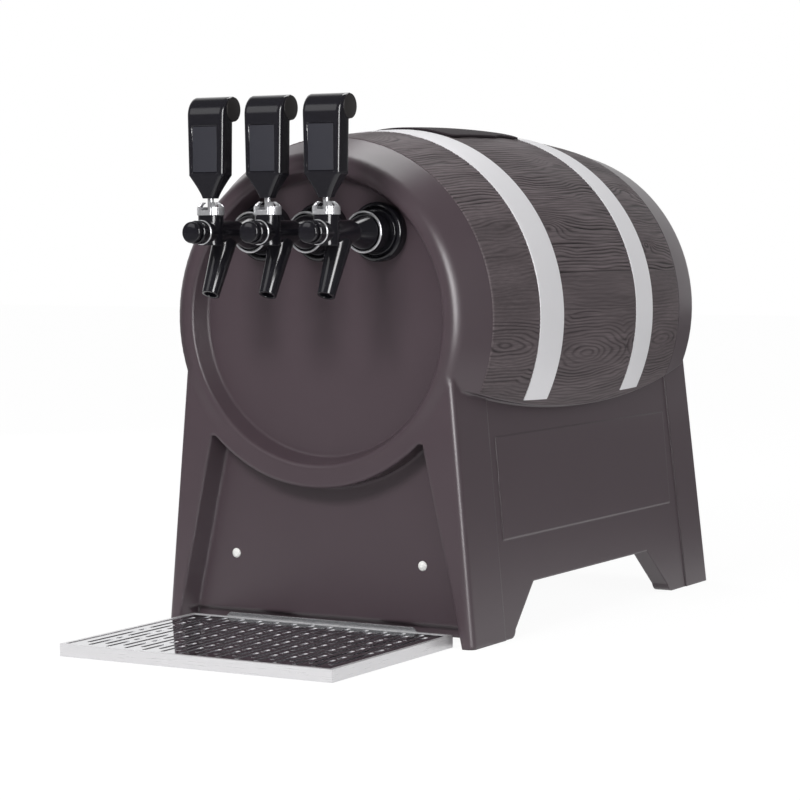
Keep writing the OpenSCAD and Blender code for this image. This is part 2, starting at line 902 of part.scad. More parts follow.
module thermostat_knob() {
    color(gloss_black)
        from_front()
            translate([knob_x, panel_out_y + move_gap, knob_z])
                along_y()
                    difference() {
                        union() {
                            cylinder(r1 = knob_r, r2 = knob_r - 2, h = 9);
                            translate([-3, -knob_r + 3, 9])
                                cube([6, 2 * knob_r - 6, 6]);
                        }
                        translate([0, 0, -1])
                            cylinder(r = spindle_r + run_gap, h = 13);
                    }
}

module mains_inlet() {
    depth = 28;
    lip = 4;
    lip_t = 3;
    socket_w = 24;
    socket_h = 17;
    socket_d = 18;
    color(gloss_black)
        from_front()
            translate([mains_x, panel_out_y, mains_z])
                difference() {
                    union() {
                        translate([-mains_w / 2 + seat_gap, -depth, -mains_h / 2 + seat_gap])
                            cube([mains_w - 2 * seat_gap, depth + 1, mains_h - 2 * seat_gap]);
                        translate([-mains_w / 2 - lip, 0, -mains_h / 2 - lip])
                            cube([mains_w + 2 * lip, lip_t, mains_h + 2 * lip]);
                    }
                    difference() {
                        translate([-socket_w / 2, lip_t - socket_d, -rocker_z - socket_h / 2])
                            cube([socket_w, socket_d + 1, socket_h]);
                        for (p = [[-7, 2], [7, 2], [0, -3]])
                            translate([p[0] - 1, -depth, p[1] - rocker_z - 2])
                                cube([2, depth - 1, 4]);
                    }
                    translate([0, 0, rocker_z])
                        rotate([0, 90, 0]) {
                            cylinder(r = rocker_r + move_gap, h = rocker_w + 2 * move_gap, center = true);
                            cylinder(r = rocker_pin_r + run_gap, h = rocker_w + 5, center = true);
                        }
                }
}

module power_rocker() {
    tilt = 10;
    color(gloss_black)
        from_front()
            translate([mains_x, panel_out_y, mains_z + rocker_z]) {
                difference() {
                    rotate([0, 90, 0])
                        cylinder(r = rocker_r, h = rocker_w, center = true);
                    rotate([-tilt, 0, 0])
                        translate([-rocker_w, 5.5, -rocker_w])
                            cube([2 * rocker_w, rocker_w, 2 * rocker_w]);
                }
                rotate([0, 90, 0])
                    cylinder(r = rocker_pin_r, h = rocker_w + 4, center = true);
            }
}

// Chassis and drip tray

bracket_arm_x = 70;
bracket_arm_w = 36;
bracket_t = 1.5;
bracket_y = tray_len - tray_reach + move_gap;
bracket_back_y = base_wall_y + ledge_w + 12;
bracket_hem = 22;
bracket_screw_y = bracket_back_y + bracket_hem / 2;
post_w = 20;

module chassis() {
    plate_x = base_x(deck_top_z) - wall - 3;
    post_x = tank_w / 2 - post_w;
    color(bright_steel)
        from_front()
            difference() {
                union() {
                    translate([-plate_x, base_wall_y + 3, deck_z])
                        cube([2 * plate_x, rear_wall_y - base_wall_y - 6, chassis_t]);
                    for (s = [-1, 1])
                        for (y = [tank_y + post_w, tank_y + tank_len - 2 * post_w])
                            translate([s * post_x - post_w / 2, y, deck_z])
                                cube([post_w, post_w, tank_z - deck_z]);
                }
                for (p = chassis_screw_places)
                    translate([p[0], p[1], deck_z - 1])
                        cylinder(r = screw_r + run_gap, h = chassis_t + 2);
                for (s = [-1, 1])
                    translate([s * bracket_arm_x, bracket_screw_y, deck_z - 1])
                        cylinder(r = screw_r + run_gap, h = chassis_t + 2);
            }
}

module underside_screws() {
    color(bright_steel)
        from_front() {
            for (p = chassis_screw_places)
                translate([p[0], p[1], deck_top_z])
                    screw(chassis_t + 3.5);
            for (s = [-1, 1])
                translate([s * bracket_arm_x, bracket_screw_y, deck_top_z])
                    screw(chassis_t + bracket_t);
        }
}

module tray_bracket() {
    web_x = tray_w / 2 - 2;
    web_h = tray_h + 4;
    foot_z = 1;
    color(bright_steel)
        from_front()
            difference() {
                union() {
                    slab_y(bracket_y, bracket_y + bracket_t)
                        polygon([
                            [-web_x, foot_z], [web_x, foot_z], [web_x, tray_h - 3], [web_x - 35, tray_h - 3],
                            [web_x - 42, web_h], [-web_x + 42, web_h], [-web_x + 35, tray_h - 3],
                            [-web_x, tray_h - 3]]);
                    for (s = [-1, 1])
                        translate([s * bracket_arm_x - bracket_arm_w / 2, 0, 0]) {
                            translate([0, bracket_y, foot_z])
                                cube([bracket_arm_w, bracket_back_y - bracket_y, bracket_t]);
                            translate([0, bracket_back_y - bracket_t, foot_z])
                                cube([bracket_arm_w, bracket_t, deck_z - foot_z]);
                            translate([0, bracket_back_y - bracket_t, deck_z - bracket_t])
                                cube([bracket_arm_w, bracket_hem, bracket_t]);
                        }
                }
                for (s = [-1, 1])
                    translate([s * bracket_arm_x, bracket_screw_y, deck_z - bracket_t - 1])
                        cylinder(r = screw_r + run_gap, h = bracket_t + 2);
            }
}

module panel_plugs() {
    color(plug_white)
        from_front()
            for (s = [-1, 1])
                translate([s * plug_x, panel_depth, plug_z])
                    rotate([90, 0, 0]) {
                        difference() {
                            translate([0, 0, -plug_head_r])
                                sphere(r = plug_head_r * sqrt(2));
                            translate([0, 0, -3 * plug_head_r])
                                cylinder(r = 2 * plug_head_r, h = 3 * plug_head_r);
                        }
                        translate([0, 0, -wall])
                            cylinder(r = plug_peg_r, h = wall);
                    }
}

grate_w = tray_w - 2 * tray_rim - 2 * move_gap;
grate_len = tray_len - 2 * tray_rim - 2 * move_gap;
grate_top_z = tray_h - grate_drop;
tray_mid_y = tray_len / 2 - tray_reach;

module drip_tray() {
    corner = 12;
    rim_t = tray_t;
    color(bright_steel)
        from_front()
            translate([0, tray_mid_y, 0]) {
                difference() {
                    translate([-tray_w / 2, -tray_len / 2, 0])
                        cube([tray_w, tray_len, tray_h]);
                    translate([-tray_w / 2 + tray_t, -tray_len / 2 + tray_t, tray_t])
                        cube([tray_w - 2 * tray_t, tray_len - 2 * tray_t, tray_h - tray_t - rim_t]);
                    translate([-tray_w / 2 + tray_rim, -tray_len / 2 + tray_rim, tray_t])
                        cube([tray_w - 2 * tray_rim, tray_len - 2 * tray_rim, tray_h]);
                }
                for (x = [-1, 1])
                    for (y = [-1, 1])
                        translate([x * (tray_w / 2 - tray_t - corner / 2) - corner / 2,
                            y * (tray_len / 2 - tray_t - corner / 2) - corner / 2, 0])
                            cube([corner, corner, grate_top_z - grate_t]);
            }
}

// A slot along the tray's length, round at both ends
module slot(len) {
    square([slot_w, len - slot_w], center = true);
    for (s = [-1, 1])
        translate([0, s * (len - slot_w) / 2])
            circle(slot_w / 2, $fn = 32);
}

// One row of slots down the grate: long and short by turns, shifted by half a period in every other row
module slot_row(shift) {
    period = long_slot + short_slot + 2 * slot_bridge;
    reach = grate_len / 2 - slot_bridge;
    for (k = [-3:3])
        for (part = [[0, long_slot], [(period) / 2, short_slot]]) {
            mid = k * period + part[0] + shift;
            low = max(mid - part[1] / 2, -reach);
            high = min(mid + part[1] / 2, reach);
            if (high - low > 2 * slot_w)
                translate([0, (low + high) / 2])
                    slot(high - low);
        }
}

module drip_grate() {
    rows = floor((grate_w - 2 * slot_bridge - slot_w) / slot_pitch / 2);
    period = long_slot + short_slot + 2 * slot_bridge;
    color(bright_steel)
        from_front()
            translate([0, tray_mid_y, grate_top_z - grate_t])
                linear_extrude(grate_t)
                    difference() {
                        square([grate_w, grate_len], center = true);
                        for (n = [-rows : rows])
                            translate([n * slot_pitch, 0])
                                slot_row(abs(n) % 2 == 0 ? 0 : period / 2);
                    }
}

// Taps

nut_r = 17;
nut_t = 8;
tail_y = tank_y - move_gap;

module tap_shanks() {
    color(bright_steel)
        for (i = [0:2])
            at_tap(i)
                translate([0, collar_y + 8, 0])
                    along_y()
                        difference() {
                            cylinder(r = shank_r, h = tail_y - collar_y - 8);
                            translate([0, 0, -1])
                                cylinder(r = shank_bore_r, h = tail_y - collar_y);
                        }
}

module shank_flange(i) {
    lip = 4;
    color(gloss_black)
        at_tap(i)
            translate([0, flange_y, 0])
                along_y()
                    rotate_extrude()
                        difference() {
                            union() {
                                polygon([
                                    [0, 0], [collar_r + 2, 0], [flange_r - lip, lip],
                                    [flange_r - lip, flange_t], [0, flange_t]]);
                                translate([0, lip])
                                    square([flange_r, flange_t - lip]);
                                intersection() {
                                    translate([flange_r - lip, lip])
                                        circle(lip);
                                    translate([flange_r - lip, 0])
                                        square([lip, flange_t]);
                                }
                            }
                            translate([0, -1])
                                square([shank_r + seat_gap, flange_t + 2]);
                        }
}

module coupling_collar(i) {
    color(gloss_black)
        at_tap(i)
            translate([0, collar_y, 0])
                along_y()
                    difference() {
                        rotate_extrude()
                            polygon([
                                [0, 0], [collar_r, 0], [collar_r, collar_len - 3],
                                [collar_r - 1.5, collar_len - 3], [collar_r - 1.5, collar_len],
                                [0, collar_len]]);
                        translate([0, 0, 8])
                            cylinder(r = shank_r + seat_gap, h = collar_len);
                        translate([0, 0, -1])
                            cylinder(r = shank_r + 4 + seat_gap, h = 9);
                    }
}

// A ring of round wire about the tap's axis
module wire_ring(r, y) {
    translate([0, y, 0])
        along_y()
            rotate_extrude()
                translate([r, 0])
                    circle(ring_wire_r, $fn = 32);
}

module tap_rings() {
    color(bright_steel)
        for (i = [0:2])
            at_tap(i) {
                wire_ring(collar_r - ring_wire_r + 0.5, collar_y - ring_wire_r);
                wire_ring(gland_r - ring_wire_r + 0.7, -lever_y - nose_len - ring_wire_r);
            }
}

spigot_len = 7;
cone_len = 18;
stem_len = 7;
stem_end_y = collar_y - 2 * ring_wire_r;
spout_y = 24;
spout_z = 8;

// The solid of a tap without its passages
module tap_mass() {
    cross_y = stem_end_y - cone_len - stem_len;
    translate([0, -lever_y - nose_len, 0])
        along_y()
            cylinder(r = cross_r, h = nose_len + lever_y + cross_y);
    translate([0, cross_y - 1, 0])
        along_y()
            cylinder(r = cross_r - 2, h = stem_len + 2);
    translate([0, cross_y + stem_len, 0])
        along_y()
            cylinder(r1 = cross_r - 2, r2 = collar_r - 3, h = cone_len);
    translate([0, stem_end_y - 1, 0])
        along_y()
            cylinder(r = shank_r + 4, h = collar_y + spigot_len - stem_end_y + 1);
    translate([0, -lever_y, -cross_r - 0.8])
        cylinder(r = upright_r, h = upright_h + cross_r + 0.8);
    translate([0, -lever_y + spout_y, -spout_z])
        rotate([180 - spout_lean, 0, 0])
            cylinder(r1 = spout_root_r, r2 = spout_tip_r, h = spout_len);
}

module tap_body(i) {
    arm_slot = 10;
    seat_y = -lever_y + spout_y + 4;
    color(gloss_black)
        at_tap(i)
            difference() {
                tap_mass();
                translate([0, -lever_y - nose_len - 1, 0])
                    along_y()
                        cylinder(r = piston_r + run_gap, h = seat_y + lever_y + nose_len + 1);
                translate([0, seat_y, 0])
                    along_y()
                        cylinder(r = shank_bore_r - 1, h = 2 * lever_y);
                translate([0, -lever_y, pivot_h - ball_r - move_gap])
                    cylinder(r = ball_r + move_gap, h = upright_h);
                translate([-stem_r - move_gap, -lever_y - stem_r - move_gap, 0])
                    cube([2 * (stem_r + move_gap), arm_slot + stem_r, pivot_h]);
                translate([0, -lever_y + spout_y, -spout_z])
                    rotate([180 - spout_lean, 0, 0])
                        translate([0, 0, -spout_root_r / 2])
                            cylinder(r = spout_bore_r - 2, h = spout_len + spout_root_r);
                translate([0, -lever_y + spout_y, -spout_z])
                    rotate([180 - spout_lean, 0, 0])
                        translate([0, 0, spout_len - 14])
                            cylinder(r = spout_bore_r, h = 15);
            }
}

module crown_nut(i) {
    bore_r = crown_r - 3.4;
    notch_w = 2 * stem_r + 2.2;
    notch_z = 0.42 * crown_h;
    rim_h = notch_z - 1.6;
    color(bright_steel)
        at_tap(i)
            translate([0, -lever_y, upright_h])
                difference() {
                    rotate_extrude()
                        polygon([[bore_r, 0], [crown_r, 0], [crown_r, rim_h], [crown_r - 1, rim_h + 0.8],
                            [crown_r - 2.2, crown_h], [bore_r, crown_h]]);
                    for (k = [0 : crown_teeth / 2 - 1])
                        rotate([0, 0, 180 * k / (crown_teeth / 2)])
                            rotate([90, 0, 0])
                                linear_extrude(4 * crown_r, center = true)
                                    polygon([[-notch_w / 2, notch_z], [notch_w / 2, notch_z],
                                        [notch_w / 2 + 1.2, crown_h + 1], [-notch_w / 2 - 1.2, crown_h + 1]]);
                }
}

arm_r = 0.5 * stem_r;
tip_r = 0.85 * stem_r;

module lever_stem(i) {
    color(bright_steel)
        at_tap(i)
            translate([0, -lever_y, 0]) {
                translate([0, 0, pivot_h])
                    sphere(r = ball_r);
                translate([0, 0, pivot_h])
                    cylinder(r = stem_r, h = handle_z + neck_h - pivot_h);
                cylinder(r = arm_r, h = pivot_h);
                sphere(r = tip_r);
            }
}

module valve_piston(i) {
    front = nose_len - button_travel - 1.5;
    rear = spout_y + 2;
    color(bright_steel)
        at_tap(i)
            translate([0, -lever_y, 0])
                difference() {
                    translate([0, -front, 0])
                        along_y()
                            cylinder(r = piston_r, h = front + rear - pivot_h / 2);
                    translate([-piston_r - 1, -tip_r - 4.5 * move_gap, -tip_r - move_gap])
                        cube([2 * piston_r + 2, 2 * tip_r + 5.5 * move_gap, 2 * piston_r]);
                }
}

button_len = 11;
button_pin_r = 3;

module button_gland(i) {
    spigot_r = gland_r - 2 * ring_wire_r + 0.5;
    rim_z = gland_len - 2 * ring_wire_r;
    color(gloss_black)
        at_tap(i)
            translate([0, -lever_y - nose_len - gland_len, 0])
                along_y()
                    difference() {
                        rotate_extrude()
                            polygon([
                                [0, 0], [gland_r - 1, 0], [gland_r, 1], [gland_r, rim_z],
                                [spigot_r, rim_z], [spigot_r, gland_len], [0, gland_len]]);
                        translate([0, 0, -1])
                            cylinder(r = button_r + move_gap, h = gland_len - 4);
                        cylinder(r = button_pin_r + run_gap, h = 2 * gland_len);
                    }
}

module front_button(i) {
    nose = gland_len - 5 - button_travel - move_gap;
    color(gloss_black)
        at_tap(i)
            translate([0, -lever_y - nose_len - gland_len, 0])
                along_y() {
                    rotate_extrude()
                        polygon([[0, nose - button_len - 1], [button_r - 1.5, nose - button_len - 1],
                            [button_r, nose - button_len + 1], [button_r, nose], [0, nose]]);
                    cylinder(r = button_pin_r, h = gland_len + 1);
                }
}

module tap_handle(i) {
    roll_z = handle_z + handle_h - roll_r;
    body_z = handle_z + neck_h;
    front = -handle_d / 2;
    color(gloss_black)
        at_tap(i)
            translate([0, -lever_y, 0])
                difference() {
                    union() {
                        hull() {
                            translate([0, 0, handle_z])
                                cylinder(r = neck_r, h = 1, $fn = 32);
                            translate([0, 0, body_z])
                                linear_extrude(0.1)
                                    rounded_rect(handle_w, handle_d, handle_round, $fn = 32);
                        }
                        translate([0, 0, body_z])
                            linear_extrude(roll_z - body_z)
                                rounded_rect(handle_w, handle_d, handle_round);
                        translate([-handle_w / 2, handle_d / 2 + roll_back - roll_r, roll_z])
                            rotate([0, 90, 0])
                                cylinder(r = roll_r, h = handle_w);
                        translate([-handle_w / 2, front + roll_r, roll_z])
                            rotate([0, 90, 0])
                                cylinder(r = roll_r, h = handle_w);
                        translate([-handle_w / 2, front + roll_r, roll_z])
                            cube([handle_w, handle_d + roll_back - 2 * roll_r, roll_r]);
                    }
                    translate([-label_w / 2, front - 1, body_z + label_rise])
                        cube([label_w, label_depth + 1, label_h]);
                    translate([0, 0, handle_z - 1])
                        cylinder(r = stem_r + seat_gap, h = neck_h + 1 + seat_gap);
                }
}

module shank_nuts() {
    color(bright_steel)
        for (i = [0:2])
            at_tap(i)
                translate([0, front_wall_y, 0])
                    along_y()
                        difference() {
                            cylinder(r = nut_r, h = nut_t, $fn = 6);
                            translate([0, 0, -1])
                                cylinder(r = shank_r + run_gap, h = nut_t + 2);
                        }
}

// Cooling inside the casing

// A box about the tank's middle, from one height to another, drawn in from the tank's outside
module tank_box(inset, z0, z1) {
    translate([-tank_w / 2 + inset, tank_y + inset, z0])
        cube([tank_w - 2 * inset, tank_len - 2 * inset, z1 - z0]);
}

// The holes that the product lines take through the tank's ends
module line_holes(gap) {
    for (i = [0:2])
        translate([tap_x(i), tank_y - 1, tap_z])
            along_y()
                cylinder(r = line_r + gap, h = tank_len + 2);
}

module tank_foam() {
    color(foam_cream)
        from_front()
            difference() {
                tank_box(0, tank_z, foam_top_z);
                tank_box(foam_t, tank_z + foam_t, foam_top_z + 1);
                line_holes(seat_gap);
            }
}

module tank_liner() {
    color(bright_steel)
        from_front()
            difference() {
                tank_box(foam_t + seat_gap, tank_z + foam_t, foam_top_z);
                tank_box(foam_t + seat_gap + liner_t, liner_floor_z, foam_top_z + 1);
                line_holes(seat_gap);
            }
}

agitator_x = tap_pitch / 2;
agitator_y = tank_y + foam_t + 48;
agitator_shaft_r = 3;
motor_r = 24;
motor_h = 36;
neck_wall = 3;

module tank_cover() {
    neck_top_z = barrel_axis_z + sqrt(pow(barrel_r(lid_y) - wall - 4, 2) - pow(fill_w / 2 + neck_wall, 2));
    color(foam_cream)
        from_front()
            difference() {
                union() {
                    tank_box(0, foam_top_z, foam_top_z + cover_t);
                    translate([0, lid_mid_y, foam_top_z])
                        linear_extrude(neck_top_z - lid_plug - wall - foam_top_z)
                            square([fill_w + 2 * neck_wall, fill_len + 2 * neck_wall], center = true);
                }
                translate([0, lid_mid_y, foam_top_z - 1])
                    linear_extrude(2 * tank_h)
                        square([fill_w, fill_len], center = true);
                translate([agitator_x, agitator_y, foam_top_z - 1])
                    cylinder(r = agitator_shaft_r + 2, h = cover_t + 2);
            }
}

module agitator_motor() {
    color(gloss_black)
        from_front()
            translate([agitator_x, agitator_y, foam_top_z + cover_t])
                difference() {
                    union() {
                        cylinder(r = motor_r, h = motor_h - 4);
                        cylinder(r = motor_r - 3, h = motor_h);
                    }
                    translate([0, 0, -1])
                        cylinder(r = agitator_shaft_r + run_gap, h = motor_h / 2 + 1);
                }
}

module agitator() {
    low_z = liner_floor_z + 30;
    blade_r = 20;
    color(bright_steel)
        from_front()
            translate([agitator_x, agitator_y, low_z]) {
                cylinder(r = agitator_shaft_r, h = foam_top_z + cover_t + motor_h / 2 - 1 - low_z);
                cylinder(r = agitator_shaft_r + 3, h = 14);
                for (k = [0:3])
                    rotate([0, 0, 90 * k])
                        translate([0, 0, 7])
                            rotate([30, 0, 0])
                                translate([0, -0.75, -6])
                                    cube([blade_r, 1.5, 12]);
            }
}

module evaporator() {
    inset = foam_t + liner_t + 10;
    tube = 9;
    top_z = tap_z - line_r - 8;
    color(copper_red)
        from_front()
            difference() {
                tank_box(inset, liner_floor_z, top_z);
                tank_box(inset + tube, liner_floor_z - 1, top_z + 1);
            }
}

module product_coils() {
    tube = 7;
    color(bright_steel)
        from_front()
            for (i = [0:2])
                translate([(i - 1) * (2 * coil_r + 3), tank_mid_y + coil_r, liner_floor_z])
                    difference() {
                        cylinder(r = coil_r, h = tap_z - line_r - move_gap - liner_floor_z);
                        translate([0, 0, -1])
                            cylinder(r = coil_r - tube, h = tank_h);
                    }
}

module product_lines() {
    mid = tank_mid_y + coil_r;
    inlet_y = panel_in_y - 5;
    color(foam_cream)
        from_front()
            for (i = [0:2])
                for (run = [[tank_y, mid - 2], [mid + 2, inlet_y]])
                    translate([tap_x(i), run[0], tap_z])
                        along_y()
                            difference() {
                                cylinder(r = line_r, h = run[1] - run[0]);
                                translate([0, 0, -1])
                                    cylinder(r = line_r - line_wall, h = run[1] - run[0] + 2);
                            }
}

module compressor() {
    dome_r = 1.2 * compressor_r;
    color(gloss_black)
        from_front()
            translate([0, tank_mid_y, deck_top_z]) {
                rotate_extrude()
                    intersection() {
                        translate([0, compressor_h - dome_r])
                            circle(dome_r);
                        union() {
                            translate([0, 8])
                                square([compressor_r - 8, compressor_h]);
                            translate([0, 16])
                                square([compressor_r, compressor_h / 2]);
                        }
                    }
                for (k = [0:2])
                    rotate([0, 0, 120 * k + 30])
                        translate([compressor_r - 12, 0, 0])
                            cylinder(r = 10, h = 16);
            }
}

condenser_depth = 36;
condenser_gap = 4;

module condenser() {
    fins = 24;
    wide = 4 * fan_r;
    tall = 2 * fan_r + 24;
    back_y = rear_wall_y - condenser_gap;
    color(bright_steel)
        from_front()
            translate([-wide / 2, back_y - condenser_depth, deck_top_z]) {
                difference() {
                    cube([wide, condenser_depth, tall]);
                    for (k = [0 : fins - 1])
                        translate([(k + 0.35) * wide / fins, -1, 6])
                            cube([0.3 * wide / fins, condenser_depth / 2, tall - 12]);
                }
            }
}

fan_room = 26;
fan_y = rear_wall_y - condenser_gap - condenser_depth - fan_room;
fan_shaft_r = 3;
fan_motor_r = 22;
fan_motor_len = 34;
fan_foot_w = 20;
fan_gap = 4;

module fan_motor() {
    color(gloss_black)
        from_front() {
            translate([0, fan_y - fan_motor_len - fan_gap, fan_z])
                along_y() {
                    cylinder(r = fan_motor_r, h = fan_motor_len);
                    cylinder(r = fan_shaft_r, h = fan_motor_len + fan_gap + 10);
                }
            translate([-fan_foot_w / 2, fan_y - fan_motor_len, deck_top_z])
                cube([fan_foot_w, fan_foot_w, fan_z - deck_top_z]);
        }
}

module fan_blade() {
    hub_r = 13;
    hub_h = 12;
    color(gloss_black)
        from_front()
            translate([0, fan_y, fan_z])
                along_y()
                    difference() {
                        union() {
                            cylinder(r = hub_r, h = hub_h);
                            for (k = [0 : fan_blades - 1])
                                rotate([0, 0, 360 * k / fan_blades])
                                    translate([hub_r - 3, 0, hub_h / 2])
                                        rotate([25, 0, 0])
                                            translate([0, -11, -0.8])
                                                cube([fan_r - hub_r, 22, 1.6]);
                        }
                        translate([0, 0, -1])
                            cylinder(r = fan_shaft_r + run_gap, h = hub_h);
                    }
}

// Draws a piece if it is asked for by name
casing();
front_hoop();
rear_hoop();
fill_lid();
lid_gasket();
rear_panel();
rear_screws();
chassis();
underside_screws();
panel_plugs();
drip_tray();
drip_grate();
tray_bracket();
for (i = [0:2]) {
    shank_flange(i);
    coupling_collar(i);
    tap_body(i);
    crown_nut(i);
    lever_stem(i);
    tap_handle(i);
    valve_piston(i);
    button_gland(i);
    front_button(i);
}
tap_shanks();
tap_rings();
shank_nuts();
tank_foam();
tank_liner();
tank_cover();
evaporator();
product_coils();
product_lines();
product_inlets();
agitator_motor();
agitator();
compressor();
condenser();
fan_motor();
fan_blade();
thermostat();
thermostat_knob();
mains_inlet();
power_rocker();
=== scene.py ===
"""Looks of a three-tap barrel drink dispenser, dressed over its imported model.

The frame is the model's own, in metres: +X to the right seen from the front, +Y to the rear, +Z up.
Sizes in the classes are in millimetres, and distances called along are measured back from the front face.
"""

import json
import logging
import math
from dataclasses import dataclass, field
from enum import Enum

import bmesh
import bpy
import numpy as np
from mathutils import Matrix, Vector


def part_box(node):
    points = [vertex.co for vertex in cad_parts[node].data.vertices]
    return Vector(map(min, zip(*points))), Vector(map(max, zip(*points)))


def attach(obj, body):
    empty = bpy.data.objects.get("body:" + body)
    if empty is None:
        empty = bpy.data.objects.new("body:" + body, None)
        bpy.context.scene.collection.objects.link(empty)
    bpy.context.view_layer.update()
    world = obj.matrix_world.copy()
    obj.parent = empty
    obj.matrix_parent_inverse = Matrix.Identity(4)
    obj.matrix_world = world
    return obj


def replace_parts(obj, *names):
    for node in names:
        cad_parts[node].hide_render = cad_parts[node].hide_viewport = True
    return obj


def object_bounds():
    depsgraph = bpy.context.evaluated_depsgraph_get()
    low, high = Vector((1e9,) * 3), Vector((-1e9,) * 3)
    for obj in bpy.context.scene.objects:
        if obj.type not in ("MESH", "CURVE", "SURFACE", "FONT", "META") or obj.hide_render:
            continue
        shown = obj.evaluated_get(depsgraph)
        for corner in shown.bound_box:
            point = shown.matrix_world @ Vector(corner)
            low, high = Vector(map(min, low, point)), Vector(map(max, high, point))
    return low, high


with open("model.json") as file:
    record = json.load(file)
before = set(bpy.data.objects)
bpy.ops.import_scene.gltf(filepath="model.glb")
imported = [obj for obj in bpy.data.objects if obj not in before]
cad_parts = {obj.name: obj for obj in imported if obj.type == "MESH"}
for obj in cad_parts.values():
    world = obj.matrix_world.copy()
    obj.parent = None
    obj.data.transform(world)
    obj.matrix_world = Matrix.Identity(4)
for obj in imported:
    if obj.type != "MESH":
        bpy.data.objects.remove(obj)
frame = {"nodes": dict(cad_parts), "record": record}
CAD_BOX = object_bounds()
MM = 0.001
FACE_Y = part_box("casing")[0].y
BARREL_AXIS_Z = 313.0
SIDES = ("left", "middle", "right")
HOOPS = ("front_hoop", "rear_hoop")
LATTICE = 256
AXIS_GAP = 0.05
FRONT_DEG = 270.0
BEVEL_SAMPLES = 8
WHITE_LIGHT = (1.0, 1.0, 1.0, 1.0)
Socket = bpy.types.NodeSocket
Span = tuple[float, float]
Triple = tuple[float, float, float]
log = logging.getLogger("dispenser")


class Axis(Enum):
    """The line that a shape is turned about, by its place among x, y and z."""

    SIDEWAYS = 0
    FORE_AFT = 1
    UPRIGHT = 2


class Pattern(Enum):
    """The fine pattern of a surface, which names its node group."""

    MOTTLED = "mottle"
    BRUSHED = "brush"


class LampUse(Enum):
    """What a lamp does: light surfaces without highlights, or draw highlights alone."""

    SOFT = "soft"
    GLOSS = "gloss"


@dataclass(frozen=True)
class NodeBox:
    """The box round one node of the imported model, by its corners in metres."""

    low: np.ndarray
    high: np.ndarray

    @classmethod
    def of(cls, node: str) -> "NodeBox":
        """Read a node's box from the frame."""
        return cls(*(np.array(corner, dtype=float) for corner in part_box(node)))

    @property
    def middle(self) -> np.ndarray:
        """The box's middle, in metres."""
        return (self.low + self.high) / 2.0

    @property
    def sides(self) -> np.ndarray:
        """The box's width, depth and height, in millimetres."""
        return (self.high - self.low) / MM

    def end(self, axis: Axis) -> np.ndarray:
        """The middle of the box's face at the low end of an axis, in metres."""
        return np.where(np.arange(3) == axis.value, self.low, self.middle)


def metres(span: Span) -> Span:
    """A span of millimetres in metres."""
    return span[0] * MM, span[1] * MM


def linear_tone(tone: Triple) -> tuple[float, float, float, float]:
    """Turn a display colour of 0 to 255 into the linear colour that a shader takes.

    Args:
        tone: Red, green and blue as a screen shows them.

    Returns:
        Linear red, green and blue, and an alpha of 1.
    """
    share = np.asarray(tone, dtype=float) / 255.0
    line = np.where(share <= 0.04045, share / 12.92, ((share + 0.055) / 1.055) ** 2.4)
    return (*line.tolist(), 1.0)


def ramp(low: float, high: float, value: np.ndarray) -> np.ndarray:
    """Cubic ramp from 0 at low to 1 at high: t * t * (3 - 2 t)."""
    t = np.clip((value - low) / (high - low), 0.0, 1.0)
    return t * t * (3.0 - 2.0 * t)


def groove(phase: np.ndarray) -> np.ndarray:
    """Depth of a groove that lies where its phase is whole: ((1 + cos(2 pi phase)) / 2)^3."""
    return ((1.0 + np.cos(2.0 * np.pi * phase)) / 2.0) ** 3


def lattice_noise(u: np.ndarray, v: np.ndarray, seed: int) -> np.ndarray:
    """Smooth noise: random heights on a whole-number lattice, blended by cubic ramps.

    Args:
        u: First coordinate, in lattice steps.
        v: Second coordinate, in lattice steps.
        seed: Which lattice of heights to use.

    Returns:
        Heights from -1 to 1, in the shape of u and v together.
    """
    heights = np.random.default_rng(seed).uniform(-1.0, 1.0, (LATTICE, LATTICE))
    u, v = np.broadcast_arrays(u, v)
    column, row = np.floor(u).astype(int), np.floor(v).astype(int)
    across, up = ramp(0.0, 1.0, u - column), ramp(0.0, 1.0, v - row)
    near, far = column % LATTICE, (column + 1) % LATTICE
    low, high = row % LATTICE, (row + 1) % LATTICE
    bottom = heights[near, low] * (1.0 - across) + heights[far, low] * across
    top = heights[near, high] * (1.0 - across) + heights[far, high] * across
    return bottom * (1.0 - up) + top * up


def rounded_outline(corners: list[Triple], steps: int = 5) -> np.ndarray:
    """Round the corners of an open outline.

    Each inner corner is cut back by its round along both its sides, and a parabola
    (1-t)^2 a + 2 t (1-t) corner + t^2 b joins the two cuts.

    Args:
        corners: Points as (first, second, round).
        steps: How many spans each rounded corner has.

    Returns:
        The outline's points, one row each.
    """
    places = np.array([corner[:2] for corner in corners], dtype=float)
    t = np.linspace(0.0, 1.0, steps + 1)[:, None]
    runs = [places[:1]]
    for before, corner, after, (_, _, size) in zip(places, places[1:], places[2:], corners[1:]):
        if size <= 0.0:
            runs.append(corner[None])
            continue
        a = corner + (before - corner) / np.linalg.norm(before - corner) * size
        b = corner + (after - corner) / np.linalg.norm(after - corner) * size
        runs.append((1 - t) ** 2 * a + 2 * t * (1 - t) * corner + t ** 2 * b)
    runs.append(places[-1:])
    return np.concatenate(runs)


def full_turn(steps: int) -> np.ndarray:
    """Evenly spaced angles round a whole turn, in one row."""
    return np.linspace(0.0, 2.0 * np.pi, steps, endpoint=False)[None, :]


